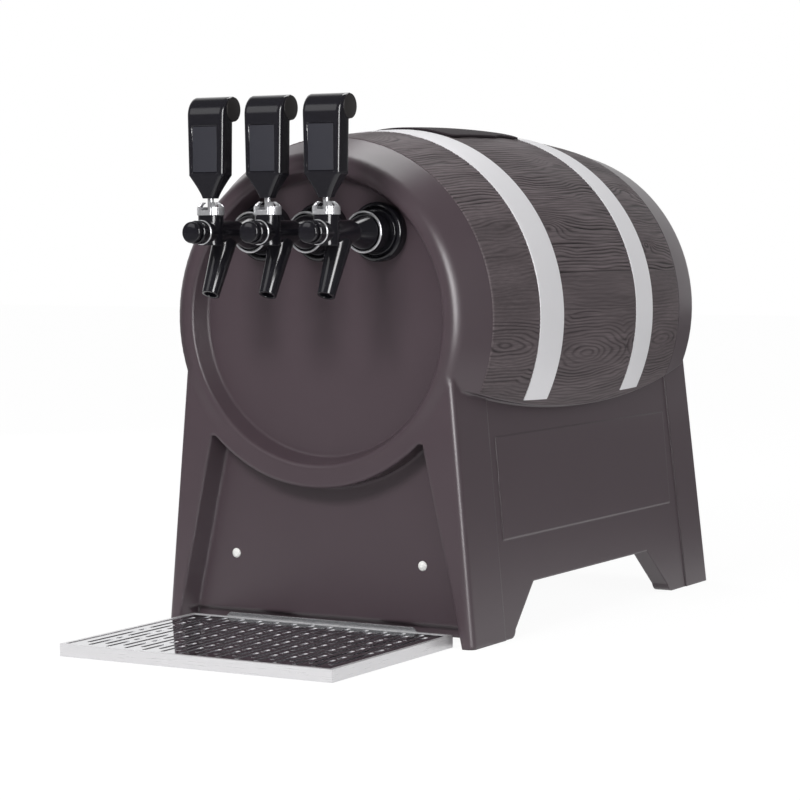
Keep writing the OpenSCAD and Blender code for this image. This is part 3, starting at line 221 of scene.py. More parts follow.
def about(
    axis: Axis, centre: np.ndarray, radius: np.ndarray, angle: np.ndarray, along: np.ndarray,
) -> np.ndarray:
    """Set points about an axis: radius times (cos a, sin a) square to it, plus along on it.

    Args:
        axis: The line to turn about.
        centre: Where along is 0 on the axis, in metres.
        radius: Distances from the axis, in millimetres.
        angle: Turns about the axis, in radians.
        along: Distances on the axis, in millimetres.

    Returns:
        Points in metres, in the shape of radius, angle and along together.
    """
    parts = [radius * np.cos(angle), radius * np.sin(angle)]
    parts.insert(axis.value, along)
    return np.stack(np.broadcast_arrays(*parts), axis=-1) * MM + centre


def turned(outline: np.ndarray, centre: np.ndarray, axis: Axis, steps: int) -> np.ndarray:
    """Carry an outline round an axis.

    Args:
        outline: Rows of (radius, along), in millimetres.
        centre: Where along is 0 on the axis, in metres.
        axis: The line to turn about.
        steps: How many points go round.

    Returns:
        A grid of points, one row for each point of the outline.
    """
    return about(axis, centre, outline[:, :1], full_turn(steps), outline[:, 1:])


@dataclass
class Patchwork:
    """Points and faces of one piece, gathered patch by patch."""

    name: str
    points: list[np.ndarray] = field(default_factory=list)
    faces: list[np.ndarray] = field(default_factory=list)
    count: int = 0

    def add_points(self, patch: np.ndarray) -> np.ndarray:
        """Keep a patch's points.

        Args:
            patch: Points in any array shape, with x, y and z last.

        Returns:
            The points' numbers, in the patch's own shape.
        """
        numbers = self.count + np.arange(patch[..., 0].size).reshape(patch.shape[:-1])
        self.points.append(patch.reshape(-1, 3))
        self.count += numbers.size
        return numbers

    def add_quads(self, numbers: np.ndarray, loop: bool = False) -> None:
        """Join neighbours in a grid of point numbers into four-sided faces.

        Args:
            numbers: Point numbers in rows and columns.
            loop: Whether the last column joins the first.
        """
        if loop:
            numbers = np.concatenate([numbers, numbers[:, :1]], axis=1)
        corners = (numbers[:-1, :-1], numbers[:-1, 1:], numbers[1:, 1:], numbers[1:, :-1])
        self.faces.append(np.stack(corners, axis=-1).reshape(-1, 4))

    def add_face(self, ring: np.ndarray) -> None:
        """Add one face round a ring of point numbers."""
        self.faces.append(ring.reshape(1, -1))

    def add_tube(self, patch: np.ndarray) -> None:
        """Add a tube of rings, one ring a row, with a flat face over each end.

        Args:
            patch: Points in rows and columns, with x, y and z last.
        """
        numbers = self.add_points(patch)
        self.add_quads(numbers, loop=True)
        self.add_face(numbers[0])
        self.add_face(numbers[-1])

    def add_ring(self, patch: np.ndarray) -> None:
        """Add a closed ring, whose last row joins its first and whose last column its first."""
        numbers = self.add_points(patch)
        self.add_quads(np.concatenate([numbers, numbers[:1]]), loop=True)

    def build(self, dress: "Finish", body: str, sharp_deg: float = 38.0) -> bpy.types.Object:
        """Make the piece's mesh, turn its faces outwards, finish it and set it on its body.

        Args:
            dress: The piece's finish.
            body: The moving body that carries the piece.
            sharp_deg: Edges sharper than this many degrees stay crisp.

        Returns:
            The finished object.
        """
        points = np.concatenate(self.points)
        sizes = np.concatenate([np.full(len(face), face.shape[1]) for face in self.faces])
        corners = np.concatenate([face.ravel() for face in self.faces])
        mesh = bpy.data.meshes.new(self.name)
        mesh.vertices.add(len(points))
        mesh.vertices.foreach_set("co", points.ravel())
        mesh.loops.add(len(corners))
        mesh.loops.foreach_set("vertex_index", corners)
        mesh.polygons.add(len(sizes))
        mesh.polygons.foreach_set("loop_start", np.concatenate([[0], np.cumsum(sizes)[:-1]]))
        mesh.update(calc_edges=True)
        shell = bmesh.new()
        shell.from_mesh(mesh)
        bmesh.ops.recalc_face_normals(shell, faces=shell.faces)
        shell.to_mesh(mesh)
        shell.free()
        mesh.polygons.foreach_set("use_smooth", np.ones(len(mesh.polygons), dtype=bool))
        mesh.set_sharp_from_angle(angle=math.radians(sharp_deg))
        piece = bpy.data.objects.new(self.name, mesh)
        bpy.context.scene.collection.objects.link(piece)
        mesh.materials.append(dress.material())
        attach(piece, body)
        log.info("%s: %d points, %d faces, rides on %s", self.name, len(points), len(sizes), body)
        return piece


class Bench:
    """A node tree with short ways to add nodes and join them."""

    MIX_SOCKETS = {"FLOAT": ((0, 2, 3), 0), "RGBA": ((0, 6, 7), 2)}

    def __init__(self, tree: bpy.types.NodeTree) -> None:
        """Keep the tree to work on."""
        self.tree = tree

    def add(self, kind: str, settings: dict | None = None, **values: object) -> bpy.types.Node:
        """Add a node.

        Args:
            kind: The node's type.
            settings: Properties of the node itself.
            values: Values or sockets for its inputs, named with _ for a space.

        Returns:
            The new node.
        """
        node = self.tree.nodes.new(kind)
        for name, value in (settings or {}).items():
            setattr(node, name, value)
        for name, value in values.items():
            self.feed(node.inputs[name.replace("_", " ")], value)
        return node

    def feed(self, socket: Socket, value: object) -> None:
        """Set an input to a value, or link it if the value is a socket.

        Args:
            socket: The input.
            value: A value of the input's kind, or a socket.
        """
        if isinstance(value, Socket):
            self.tree.links.new(value, socket)
        else:
            socket.default_value = value

    def place(self) -> Socket:
        """Add the surface's place in object coordinates."""
        return self.add("ShaderNodeTexCoord").outputs["Object"]

    def maths(self, operation: str, *values: object) -> Socket:
        """Add a Math node.

        Args:
            operation: What it works out.
            values: Values or sockets that it works on.

        Returns:
            The result's socket.
        """
        node = self.add("ShaderNodeMath", {"operation": operation})
        for socket, value in zip(node.inputs, values):
            self.feed(socket, value)
        return node.outputs[0]

    def mix(self, kind: str, share: object, low: object, high: object) -> Socket:
        """Add a mix of two numbers or two colours.

        Args:
            kind: FLOAT for numbers or RGBA for colours.
            share: Where the result lies between low at 0 and high at 1.
            low: The first value.
            high: The second value.

        Returns:
            The result's socket.
        """
        node = self.add("ShaderNodeMix", {"data_type": kind})
        inputs, output = self.MIX_SOCKETS[kind]
        for number, value in zip(inputs, (share, low, high)):
            self.feed(node.inputs[number], value)
        return node.outputs[output]

    def ranged(self, value: Socket, span: Span, ends: Span, curve: str = "SMOOTHSTEP") -> Socket:
        """Carry a value over a span into the range between two ends.

        Args:
            value: The value's socket.
            span: Where the range starts and stops.
            ends: What the result is at the start and at the stop.
            curve: How it goes between them, eased or LINEAR.

        Returns:
            The result's socket.
        """
        node = self.add(
            "ShaderNodeMapRange", {"interpolation_type": curve}, Value=value,
            From_Min=span[0], From_Max=span[1], To_Min=ends[0], To_Max=ends[1],
        )
        return node.outputs[0]


def mottle(bench: Bench, pebbles: Socket) -> tuple[Socket, Socket]:
    """Clouds as the pattern and a fine noise as the height, for moulded and painted surfaces.

    Args:
        bench: The tree to work in.
        pebbles: How many pebbles the fine noise has to the metre.

    Returns:
        The pattern's and the height's sockets.
    """
    place = bench.place()
    cloud = bench.add("ShaderNodeTexNoise", Vector=place, Scale=14.0, Detail=5.0, Roughness=0.62)
    fine = bench.add("ShaderNodeTexNoise", Vector=place, Scale=pebbles, Detail=2.0)
    return cloud.outputs[0], fine.outputs[0]


def brush(bench: Bench, stretch: Socket) -> tuple[Socket, Socket]:
    """Drawn-out lines as the pattern and as the height, for brushed and rolled surfaces.

    The lines are a noise of the place times the stretch.

    Args:
        bench: The tree to work in.
        stretch: How many lines each axis has to the metre.

    Returns:
        The pattern's and the height's sockets.
    """
    drawn = bench.add("ShaderNodeVectorMath", {"operation": "MULTIPLY"})
    bench.feed(drawn.inputs[0], bench.place())
    bench.feed(drawn.inputs[1], stretch)
    line = bench.add("ShaderNodeTexNoise", Vector=drawn.outputs[0], Scale=1.0, Detail=4.0).outputs[0]
    return line, line


def surface_group(pattern: Pattern) -> bpy.types.NodeTree:
    """The shared node group that gives a surface its tone, roughness and fine height.

    Moulded and painted surfaces have clouds and pebbles, and brushed and rolled ones drawn-out lines.
    Colour is the tone times 1 + Spread * (pattern - 0.5), and Roughness is Rough plus
    Swing * (pattern - 0.5).

    Args:
        pattern: The surface's pattern.

    Returns:
        The group, made on its first use.
    """
    known = bpy.data.node_groups.get(pattern.value)
    if known:
        return known
    extra, kind, draw = {
        Pattern.MOTTLED: ("Pebbles", "Float", mottle),
        Pattern.BRUSHED: ("Stretch", "Vector", brush),
    }[pattern]
    inputs = {"Tone": "Color", "Spread": "Float", "Rough": "Float", "Swing": "Float", extra: kind}
    outputs = {"Colour": "Color", "Roughness": "Float", "Height": "Float"}
    tree = bpy.data.node_groups.new(pattern.value, "ShaderNodeTree")
    for way, sockets in (("INPUT", inputs), ("OUTPUT", outputs)):
        for label, form in sockets.items():
            tree.interface.new_socket(label, in_out=way, socket_type=f"NodeSocket{form}")
    bench = Bench(tree)
    given = bench.add("NodeGroupInput").outputs
    shade, height = draw(bench, given[extra])
    offset = bench.maths("SUBTRACT", shade, 0.5)
    gain = bench.maths("MULTIPLY_ADD", offset, given["Spread"], 1.0)
    tint = bench.add("ShaderNodeVectorMath", {"operation": "SCALE"}, Scale=gain)
    bench.feed(tint.inputs[0], given["Tone"])
    rough = bench.maths("MULTIPLY_ADD", offset, given["Swing"], given["Rough"])
    bench.add("NodeGroupOutput", Colour=tint.outputs[0], Roughness=rough, Height=height)
    return tree


@dataclass(frozen=True)
class Finish:
    """A surface finish, with its tone, its sheen and its fine relief.

    tone is the display colour. edge is the radius in millimetres at which sharp edges catch light as if
    rounded, or 0 for edges left as they are. relief is the depth in millimetres of the fine height. A
    finish with a stretch is brushed or rolled, and one without is moulded or painted.
    """

    label: str
    slot: str
    tone: Triple
    rough: float
    spread: float = 0.12
    swing: float = 0.08
    pebbles: float = 900.0
    relief: float = 0.03
    edge: float = 0.6
    metallic: float = 0.0
    specular: float = 0.5
    stretch: Triple | None = None

    def surface(self, bench: Bench) -> bpy.types.Node:
        """Place the shared group that gives this finish its tone, roughness and height.

        Args:
            bench: The material's tree.

        Returns:
            The group's node.
        """
        if self.stretch:
            pattern, extra = Pattern.BRUSHED, {"Stretch": self.stretch}
        else:
            pattern, extra = Pattern.MOTTLED, {"Pebbles": self.pebbles}
        return bench.add(
            "ShaderNodeGroup", {"node_tree": surface_group(pattern)}, Tone=linear_tone(self.tone),
            Spread=self.spread, Rough=self.rough, Swing=self.swing, **extra,
        )

    def colour(self, bench: Bench, surface: bpy.types.Node) -> Socket:
        """The base colour's socket, which a kind of finish may change."""
        return surface.outputs["Colour"]

    def softness(self, bench: Bench) -> float | Socket:
        """The radius in metres at which sharp edges are softened, as a value or a socket."""
        return self.edge * MM

    def rounded(self, bench: Bench) -> Socket:
        """The normal with softened edges, on which the fine relief is laid."""
        soft = bench.add("ShaderNodeBevel", {"samples": BEVEL_SAMPLES}, Radius=self.softness(bench))
        return soft.outputs[0]

    def material(self) -> bpy.types.Material:
        """Give the finish as a material, made on its first use.

        Returns:
            The material.
        """
        known = bpy.data.materials.get(self.label)
        if known:
            return known
        made = bpy.data.materials.new(self.label)
        made.use_nodes = True
        made.node_tree.nodes.clear()
        bench = Bench(made.node_tree)
        surface = self.surface(bench)
        bump = bench.add(
            "ShaderNodeBump", Strength=1.0, Distance=self.relief * MM, Height=surface.outputs["Height"])
        if self.edge > 0.0:
            bench.feed(bump.inputs["Normal"], self.rounded(bench))
        shader = bench.add(
            "ShaderNodeBsdfPrincipled", Base_Color=self.colour(bench, surface),
            Roughness=surface.outputs["Roughness"], Metallic=self.metallic,
            Specular_IOR_Level=self.specular, Normal=bump.outputs[0],
        )
        bench.add("ShaderNodeOutputMaterial", Surface=shader.outputs[0])
        return made


@dataclass(frozen=True)
class MouldedFinish(Finish):
    """The casing's plastic, which is rounder at its front edges and over the ring round its recess.

    Edges are front_edge round as far as front_depth behind the face, and come to edge over edge_fade
    more. The ring's face seems to fall by ring_fall over ring_span from its axis, and the fall comes in
    with height over ring_fade.
    """

    front_edge: float = 5.5
    front_depth: float = 34.0
    edge_fade: float = 10.0
    ring_span: Span = (147.0, 163.0)
    ring_fall: float = 4.3
    ring_fade: Span = (180.0, 250.0)

    def softness(self, bench: Bench) -> Socket:
        """Fade from the front's rounder edges to the edges elsewhere by the distance behind the face.

        Args:
            bench: The material's tree.

        Returns:
            The radius's socket, in metres.
        """
        along = bench.add("ShaderNodeSeparateXYZ", Vector=bench.place()).outputs["Y"]
        start = FACE_Y + self.front_depth * MM
        span = (start, start + self.edge_fade * MM)
        return bench.ranged(along, span, metres((self.front_edge, self.edge)), "LINEAR")

    def rounded(self, bench: Bench) -> Socket:
        """Lean the ring's normals outwards, by a height that falls with the distance from its axis.

        The distance is sqrt(x^2 + (z - axis)^2), and the height eases from 0 to the fall over the span.

        Args:
            bench: The tree to work in.

        Returns:
            The leaning normal's socket.
        """
        parts = bench.add("ShaderNodeSeparateXYZ", Vector=bench.place()).outputs
        rise = bench.maths("SUBTRACT", parts["Z"], BARREL_AXIS_Z * MM)
        square = bench.maths("MULTIPLY", parts["X"], parts["X"])
        reach = bench.maths("SQRT", bench.maths("MULTIPLY_ADD", rise, rise, square))
        fall = bench.ranged(reach, metres(self.ring_span), metres((0.0, -self.ring_fall)))
        fade = bench.ranged(parts["Z"], metres(self.ring_fade), (0.0, 1.0))
        height = bench.maths("MULTIPLY", fall, fade)
        soft = super().rounded(bench)
        lean = bench.add("ShaderNodeBump", Strength=1.0, Distance=1.0, Height=height, Normal=soft)
        return lean.outputs[0]


@dataclass(frozen=True)
class GrainFinish(Finish):
    """The casing's plastic where wood grain is moulded in: its grooves are darker.

    The mesh carries each point's darkness, from 0 to 1, in an attribute named groove.
    """

    groove_tone: Triple = (32.0, 27.0, 29.0)

    def colour(self, bench: Bench, surface: bpy.types.Node) -> Socket:
        """Blend the plastic's tone towards the groove tone by the groove attribute."""
        dark = bench.add("ShaderNodeAttribute", {"attribute_name": "groove"}).outputs["Fac"]
        return bench.mix("RGBA", dark, surface.outputs["Colour"], linear_tone(self.groove_tone))


CASING = MouldedFinish("charcoal_casing", "casing_plastic", (77, 65, 71), 0.34, edge=2.5, relief=0.01)
GRAIN = GrainFinish(
    "charcoal_grain", "casing_plastic", (111, 101, 104), 0.5, spread=0.9, swing=0.15,
    relief=0.14, edge=0.0, specular=0.12, stretch=(900.0, 26.0, 900.0),
)
# A darker copy of the casing plastic: the lid's lower tone is painted shade, not a plastic of its own.
PAINTED_SHADE_LID = Finish("charcoal_lid_painted_shade", "casing_plastic", (56, 49, 53), 0.62, edge=1.5, relief=0.02, specular=0.06)
HOOP = Finish(
    "satin_hoop", "hoop_metal", (233, 232, 235), 0.42, spread=0.05, swing=0.1, relief=0.004,
    metallic=0.1, stretch=(60.0, 1600.0, 60.0),
)
GLOSS = Finish(
    "gloss_black", "black_plastic", (28, 27, 32), 0.14, spread=0.2, swing=0.08, pebbles=300.0,
    relief=0.01, edge=1.2,
)
HANDLE = Finish(
    "handle_black", "black_plastic", (30, 29, 34), 0.17, spread=0.2, swing=0.04, pebbles=300.0,
    relief=0.002, edge=0.0,
)
LABEL = Finish(
    "label_field", "black_plastic", (48, 48, 55), 0.62, spread=0.3, pebbles=1500.0, relief=0.09,
    specular=0.35,
)
ROLL_END = Finish("roll_end", "black_plastic", (40, 36, 36), 0.4, edge=0.4)
CHROME = Finish(
    "bright_plating", "chrome", (216, 216, 219), 0.24, spread=0.03, swing=0.06, pebbles=400.0,
    relief=0.004, metallic=0.65, edge=0.3,
)
TRAY_STEEL = Finish(
    "brushed_tray", "tray_steel", (222, 221, 223), 0.3, spread=0.1, swing=0.16, relief=0.005,
    metallic=0.4, edge=0.5, stretch=(35.0, 35.0, 1800.0),
)
MIRROR_STEEL = Finish(
    "polished_grate", "tray_steel", (205, 205, 208), 0.07, spread=0.04, swing=0.05, relief=0.003,
    metallic=1.0, edge=0.4, stretch=(40.0, 900.0, 900.0),
)
# Near-white, barely metallic steel: painted highlights on the grate's slot ends, not the steel's own tone.
PAINTED_GLINT_STEEL = Finish(
    "painted_glint_steel", "tray_steel", (240, 240, 242), 0.4, spread=0.04, swing=0.05, relief=0.002,
    metallic=0.1, edge=0.0, stretch=(40.0, 900.0, 900.0),
)
BRACKET_STEEL = Finish(
    "satin_bracket", "tray_steel", (206, 206, 209), 0.24, spread=0.06, swing=0.08, relief=0.003,
    metallic=0.85, edge=0.4, stretch=(40.0, 900.0, 900.0),
)
SHEET_STEEL = Finish(
    "rolled_sheet", "sheet_steel", (176, 176, 180), 0.38, spread=0.1, swing=0.12, relief=0.006,
    metallic=1.0, stretch=(500.0, 30.0, 500.0),
)
WHITE = Finish("satin_white", "white_plastic", (250, 250, 247), 0.4, spread=0.04, edge=0.8)
RUBBER = Finish("matte_rubber", "rubber", (34, 33, 33), 0.8, specular=0.25)
FOAM = Finish(
    "cream_foam", "foam", (224, 214, 182), 0.9, spread=0.2, pebbles=350.0, relief=0.5, specular=0.1)
COOLING = Finish(
    "cooling_fins", "cooling_metal", (196, 178, 160), 0.36, spread=0.16, swing=0.1, metallic=1.0,
    stretch=(300.0, 300.0, 40.0),
)
ENAMEL = Finish(
    "black_enamel", "compressor_iron", (26, 26, 27), 0.32, spread=0.2, pebbles=500.0, relief=0.05)
SLOT_FINISHES = {
    dress.slot: dress
    for dress in (CASING, HOOP, GLOSS, CHROME, TRAY_STEEL, SHEET_STEEL, WHITE, RUBBER, FOAM, COOLING, ENAMEL)
}
NODE_FINISHES = {"drip_grate": MIRROR_STEEL, "tray_bracket": BRACKET_STEEL, "fill_lid": PAINTED_SHADE_LID}


@dataclass(frozen=True)
class GrainFigure:
    """One oval or arched figure in the wood grain.

    around is the arc from the barrel's top, right positive, and along the distance behind the face.
    rings is how many grooves the figure adds at its middle.
    """

    around: float
    along: float
    half_width: float
    half_length: float
    rings: float


@dataclass(frozen=True)
class GrainZone:
    """A stretch of grained barrel between two edges, and how many rows of points it has."""

    name: str
    start: float
    end: float
    rows: int


@dataclass(frozen=True)
class Ripple:
    """Smooth noise on the barrel: its size round the barrel and along it, its height and its seed."""

    around: float
    along: float
    height: float
    seed: int

    def at(self, around: np.ndarray, along: np.ndarray) -> np.ndarray:
        """The noise at an arc from the top and a distance behind the face, from -height to height."""
        return self.height * lattice_noise(around / self.around, along / self.along, self.seed)


DRIFT = Ripple(48.0, 190.0, 1.6, 3)
WANDER = Ripple(9.0, 44.0, 0.8, 5)
RING_DRIFT = Ripple(8.0, 34.0, 0.55, 13)
PATCHES = Ripple(9.0, 70.0, 0.5, 7)
COARSE_FIBRE = Ripple(1.9, 40.0, 0.3, 11)
FINE_FIBRE = Ripple(1.0, 17.0, 0.2, 19)
CLOUDS = Ripple(17.0, 80.0, 0.12, 17)


@dataclass
class BarrelShell:
    """The barrel's grained skin and its two hoops.

    The barrel is widest at belly_along, and its lower edge, the lip, is lowest there. The skin lies
    skin_lift over the casing, is tucked into it at its edges, and its grain runs out over lip_fade and
    end_fade. Two planks join joint_around from the top, on both sides, between the two joint_ends. The
    lower plank is smooth for smooth_plank, and the front stretch's sides are quiet.
    """

    belly_r: float = 190.5
    bulge_r: float = 2011.0
    belly_along: float = 265.0
    lip_z: float = 219.0
    lip_bulge_r: float = 1141.0
    skin_lift: float = 0.1
    tuck: float = 0.8
    lip_fade: float = 1.6
    end_fade: float = 1.2
    columns: int = 1180
    groove_depth: float = 0.85
    groove_pitch: float = 3.9
    zones: tuple[GrainZone, ...] = (
        GrainZone("front_grain", 38.6, 145.0, 52),
        GrainZone("middle_grain", 145.0, 361.5, 78),
        GrainZone("rear_grain", 361.5, 472.4, 54),
    )
    figures: tuple[GrainFigure, ...] = (
        GrainFigure(224.0, 401.0, 8.0, 18.0, 4.0),
        GrainFigure(204.0, 176.0, 10.0, 30.0, 3.5),
        GrainFigure(112.0, 300.0, 16.0, 40.0, 3.0),
        GrainFigure(37.0, 99.0, 16.0, 34.0, 5.0),
        GrainFigure(150.0, 430.0, 14.0, 34.0, 3.0),
        GrainFigure(-170.0, 210.0, 9.0, 24.0, 4.0),
        GrainFigure(-90.0, 70.0, 12.0, 30.0, 4.0),
        GrainFigure(-215.0, 420.0, 9.0, 22.0, 4.0),
    )
    hearts: tuple[Span, ...] = (
        (326.0, 60.0), (338.0, 222.0), (332.0, 418.0), (-324.0, 84.0), (-336.0, 262.0), (-330.0, 440.0),
    )
    heart_pitch: float = 3.4
    heart_squeeze: float = 0.22
    heart_core: float = 2.0
    joint_around: float = 255.0
    joint_half: float = 0.9
    joint_ends: tuple[Span, Span] = ((150.0, 160.0), (350.0, 360.0))
    joint_fade: float = 2.0
    smooth_plank: float = 44.0
    plank_fade: float = 4.0
    calm_fade: float = 12.0
    quiet_along: Span = (105.0, 128.0)
    quiet_around: Span = (165.0, 215.0)
    hoop_thick: float = 1.5
    hoop_lift: float = 0.2
    hoop_crown: float = 0.15
    hoop_round: float = 0.5
    hoop_reach_deg: float = 116.0
    hoop_steps: int = 181
    hoop_cover: float = 0.5
    hoop_cover_deg: float = 0.3
    row_gap: float = 0.1

    def radius(self, along: np.ndarray) -> np.ndarray:
        """The barrel's radius: a circular arc that is widest at the belly."""
        return self.belly_r - self.bulge_r + np.sqrt(self.bulge_r ** 2 - (along - self.belly_along) ** 2)

    def lip_height(self, along: np.ndarray) -> np.ndarray:
        """The height of the barrel's lower edge, an arc that is lowest at the belly."""
        rise = np.sqrt(self.lip_bulge_r ** 2 - (along - self.belly_along) ** 2)
        return self.lip_z + self.lip_bulge_r - rise

    def streaks(self, around: np.ndarray, along: np.ndarray) -> np.ndarray:
        """Phase of the wavy streaks on the upper planks.

        The phase is around / pitch plus drifting noise plus, for each figure,
        rings * exp(-(da / half width)^2 - (dl / half length)^2).

        Args:
            around: Arc from the top, right positive.
            along: Distance behind the front face.

        Returns:
            The phase, whole in the middle of each groove.
        """
        phase = around / self.groove_pitch + DRIFT.at(around, along) + WANDER.at(around, along)
        for figure in self.figures:
            across = (around - figure.around) / figure.half_width
            length = (along - figure.along) / figure.half_length
            phase = phase + figure.rings * np.exp(-across ** 2 - length ** 2)
        return phase

    def rings(self, around: np.ndarray, along: np.ndarray) -> np.ndarray:
        """Phase of the long ovals on the lower planks.

        The phase is the distance to the nearest heart, sqrt(da^2 + (squeeze * dl)^2 + core^2), over the
        pitch, plus drifting noise.

        Args:
            around: Arc from the top, right positive.
            along: Distance behind the front face.

        Returns:
            The phase, whole in the middle of each groove.
        """
        spans = [
            np.sqrt((around - a) ** 2 + (self.heart_squeeze * (along - y)) ** 2 + self.heart_core ** 2)
            for a, y in self.hearts
        ]
        return np.minimum.reduce(spans) / self.heart_pitch + RING_DRIFT.at(around, along)

    def grain(self, around: np.ndarray, along: np.ndarray) -> tuple[np.ndarray, np.ndarray]:
        """The grain's grooves and their shade.

        Streaks and rings are grooves times a patchy strength, with fine fibre over them: the upper planks
        have 0.85 streak + 0.5 fibre, weaker where calm, and the lower ones ring + 0.3 fibre. The joint of
        two planks is a deeper groove. The shade is the depth, with the calm and the low stretches darker
        by an even share and clouds over all.

        Args:
            around: Arc from the top, right positive.
            along: Distance behind the front face.

        Returns:
            Groove depth and darkness, each from 0 to 1.
        """
        side = np.abs(around)
        plank = side - self.joint_around
        smooth = self.smooth_plank
        low = ramp(smooth - self.plank_fade, smooth + self.plank_fade, plank)
        calm = ramp(0.0, self.joint_fade, plank) * (1.0 - ramp(smooth - self.calm_fade, smooth, plank))
        quiet = (1.0 - ramp(*self.quiet_along, along)) * ramp(*self.quiet_around, side)
        calm = np.maximum(calm, 0.9 * quiet)
        patches = 0.5 + PATCHES.at(around, along)
        fibre = 0.5 + COARSE_FIBRE.at(around, along) + FINE_FIBRE.at(around, along)
        streak = (0.25 + 0.75 * patches) * groove(self.streaks(around, along))
        ring = (0.1 + 0.6 * patches) * groove(self.rings(around, along))
        upper = (1.0 - 0.75 * calm) * (0.85 * streak + 0.5 * fibre)
        depth = (1.0 - low) * upper + low * (ring + 0.3 * fibre)
        first, last = self.joint_ends
        between = ramp(*first, along) * (1.0 - ramp(*last, along))
        depth = np.maximum(depth, 0.95 * between * np.exp(-(plank / self.joint_half) ** 2))
        shade = depth + 0.36 * calm * (1.0 - low) + 0.18 * low + CLOUDS.at(around, along) - 0.06
        return np.clip(depth, 0.0, 1.0), np.clip(shade, 0.0, 1.0)

    def covered(self) -> np.ndarray:
        """Find where the hoops cover the grain, a little inside their edges.

        Returns:
            A row for each hoop: where its cover starts and ends behind the face.
        """
        boxes = [NodeBox.of(node) for node in HOOPS]
        spans = np.array([(box.low[1] - FACE_Y, box.high[1] - FACE_Y) for box in boxes]) / MM
        return spans + np.array([self.hoop_cover, -self.hoop_cover])

    def crest(self, turn: np.ndarray, reach: np.ndarray, along: np.ndarray) -> np.ndarray:
        """How far the grain stands out: it runs out at the lips and the ends, and under the hoops.

        Args:
            turn: Turn from the top, in radians.
            reach: Turn of the lip.
            along: Distance behind the front face.

        Returns:
            The share of the grain's full height, from 0 to 1.
        """
        inset = (reach - np.abs(turn)) * self.belly_r
        ends = np.minimum(along - self.zones[0].start, self.zones[-1].end - along)
        crest = ramp(0.0, self.lip_fade, inset) * ramp(0.0, self.end_fade, ends)
        banded = np.abs(turn) < np.radians(self.hoop_reach_deg - self.hoop_cover_deg)
        for start, end in self.covered():
            crest = np.where((along > start) & (along < end) & banded, 0.0, crest)
        return crest

    def place(self, radius: np.ndarray, turn: np.ndarray, along: np.ndarray) -> np.ndarray:
        """Points at a radius, a turn from the top and a distance behind the face, in metres."""
        flat = np.broadcast_arrays(radius * np.sin(turn), along, BARREL_AXIS_Z + radius * np.cos(turn))
        return np.stack(flat, axis=-1) * MM + np.array([0.0, FACE_Y, 0.0])

    def skin(self, zone: GrainZone) -> bpy.types.Object:
        """Build one grained stretch of the barrel.

        A point at turn t from the top and distance y behind the face lies at
        (r sin t, y, axis + r cos t), with r the barrel's radius plus the grain's relief. The stretch
        runs from lip to lip, and a coarse back closes it inside the casing's wall.

        Args:
            zone: The stretch to build.

        Returns:
            The finished piece.
        """
        hoop_rows = [self.covered() - self.row_gap, self.covered() + self.row_gap]
        rows = np.concatenate([np.linspace(zone.start, zone.end, zone.rows), np.ravel(hoop_rows)])
        along = np.unique(rows[(rows >= zone.start) & (rows <= zone.end)])[:, None]
        radius = self.radius(along)
        drop = BARREL_AXIS_Z - self.lip_height(along) - self.tuck
        reach = np.pi / 2.0 + np.arcsin(drop / radius)
        turn = np.linspace(-1.0, 1.0, self.columns)[None, :] * reach
        depth, shade = self.grain(turn * self.belly_r, along)
        relief = self.groove_depth * (1.0 - depth) * self.crest(turn, reach, along)
        work = Patchwork(zone.name)
        front = work.add_points(self.place(radius + self.skin_lift + relief, turn, along))
        first_last = [0, -1]
        hidden = self.place(radius[first_last] - self.tuck, turn[first_last], along[first_last])
        back = work.add_points(hidden)
        work.add_quads(front)
        work.add_quads(np.stack([back[0], front[0]]))
        work.add_quads(np.stack([front[-1], back[1]]))
        work.add_quads(back[::-1])
        for lip in first_last:
            work.add_face(np.concatenate([front[:, lip], back[::-1, lip]]))
        piece = work.build(GRAIN, "cabinet", sharp_deg=70.0)
        dark = np.concatenate([shade.ravel(), np.zeros(back.size)]).astype(np.float32)
        layer = piece.data.attributes.new("groove", "FLOAT", "POINT")
        layer.data.foreach_set("value", dark)
        return piece

    def hoop(self, node: str) -> bpy.types.Object:
        """Build a hoop: a thin crowned band carried round the barrel.

        Its section runs across the band at radius r(y) + lift + thickness, with rounded edges and a
        slight crown, and comes back along the inside.

        Args:
            node: The node that the hoop stands for.

        Returns:
            The finished piece.
        """
        box = NodeBox.of(node)
        start, width = (box.low[1] - FACE_Y) / MM, box.sides[1]
        edge = self.hoop_thick - self.hoop_crown
        section = rounded_outline([
            (0.0, 0.0, 0.0), (0.0, edge, self.hoop_round), (width * 0.5, self.hoop_thick, width * 0.3),
            (width, edge, self.hoop_round), (width, 0.0, 0.0), (width * 0.5, 0.0, 0.0),
        ])
        turn = np.radians(np.linspace(-self.hoop_reach_deg, self.hoop_reach_deg, self.hoop_steps))[:, None]
        along = start + section[None, :, 0]
        radius = self.radius(along) + self.hoop_lift + section[None, :, 1]
        work = Patchwork(f"{node}_band")
        work.add_tube(self.place(radius, turn, along))
        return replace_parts(work.build(HOOP, "cabinet"), node)

    def make(self) -> None:
        """Build the grained skin's stretches and the hoops."""
        for zone in self.zones:
            self.skin(zone)
        for node in HOOPS:
            self.hoop(node)


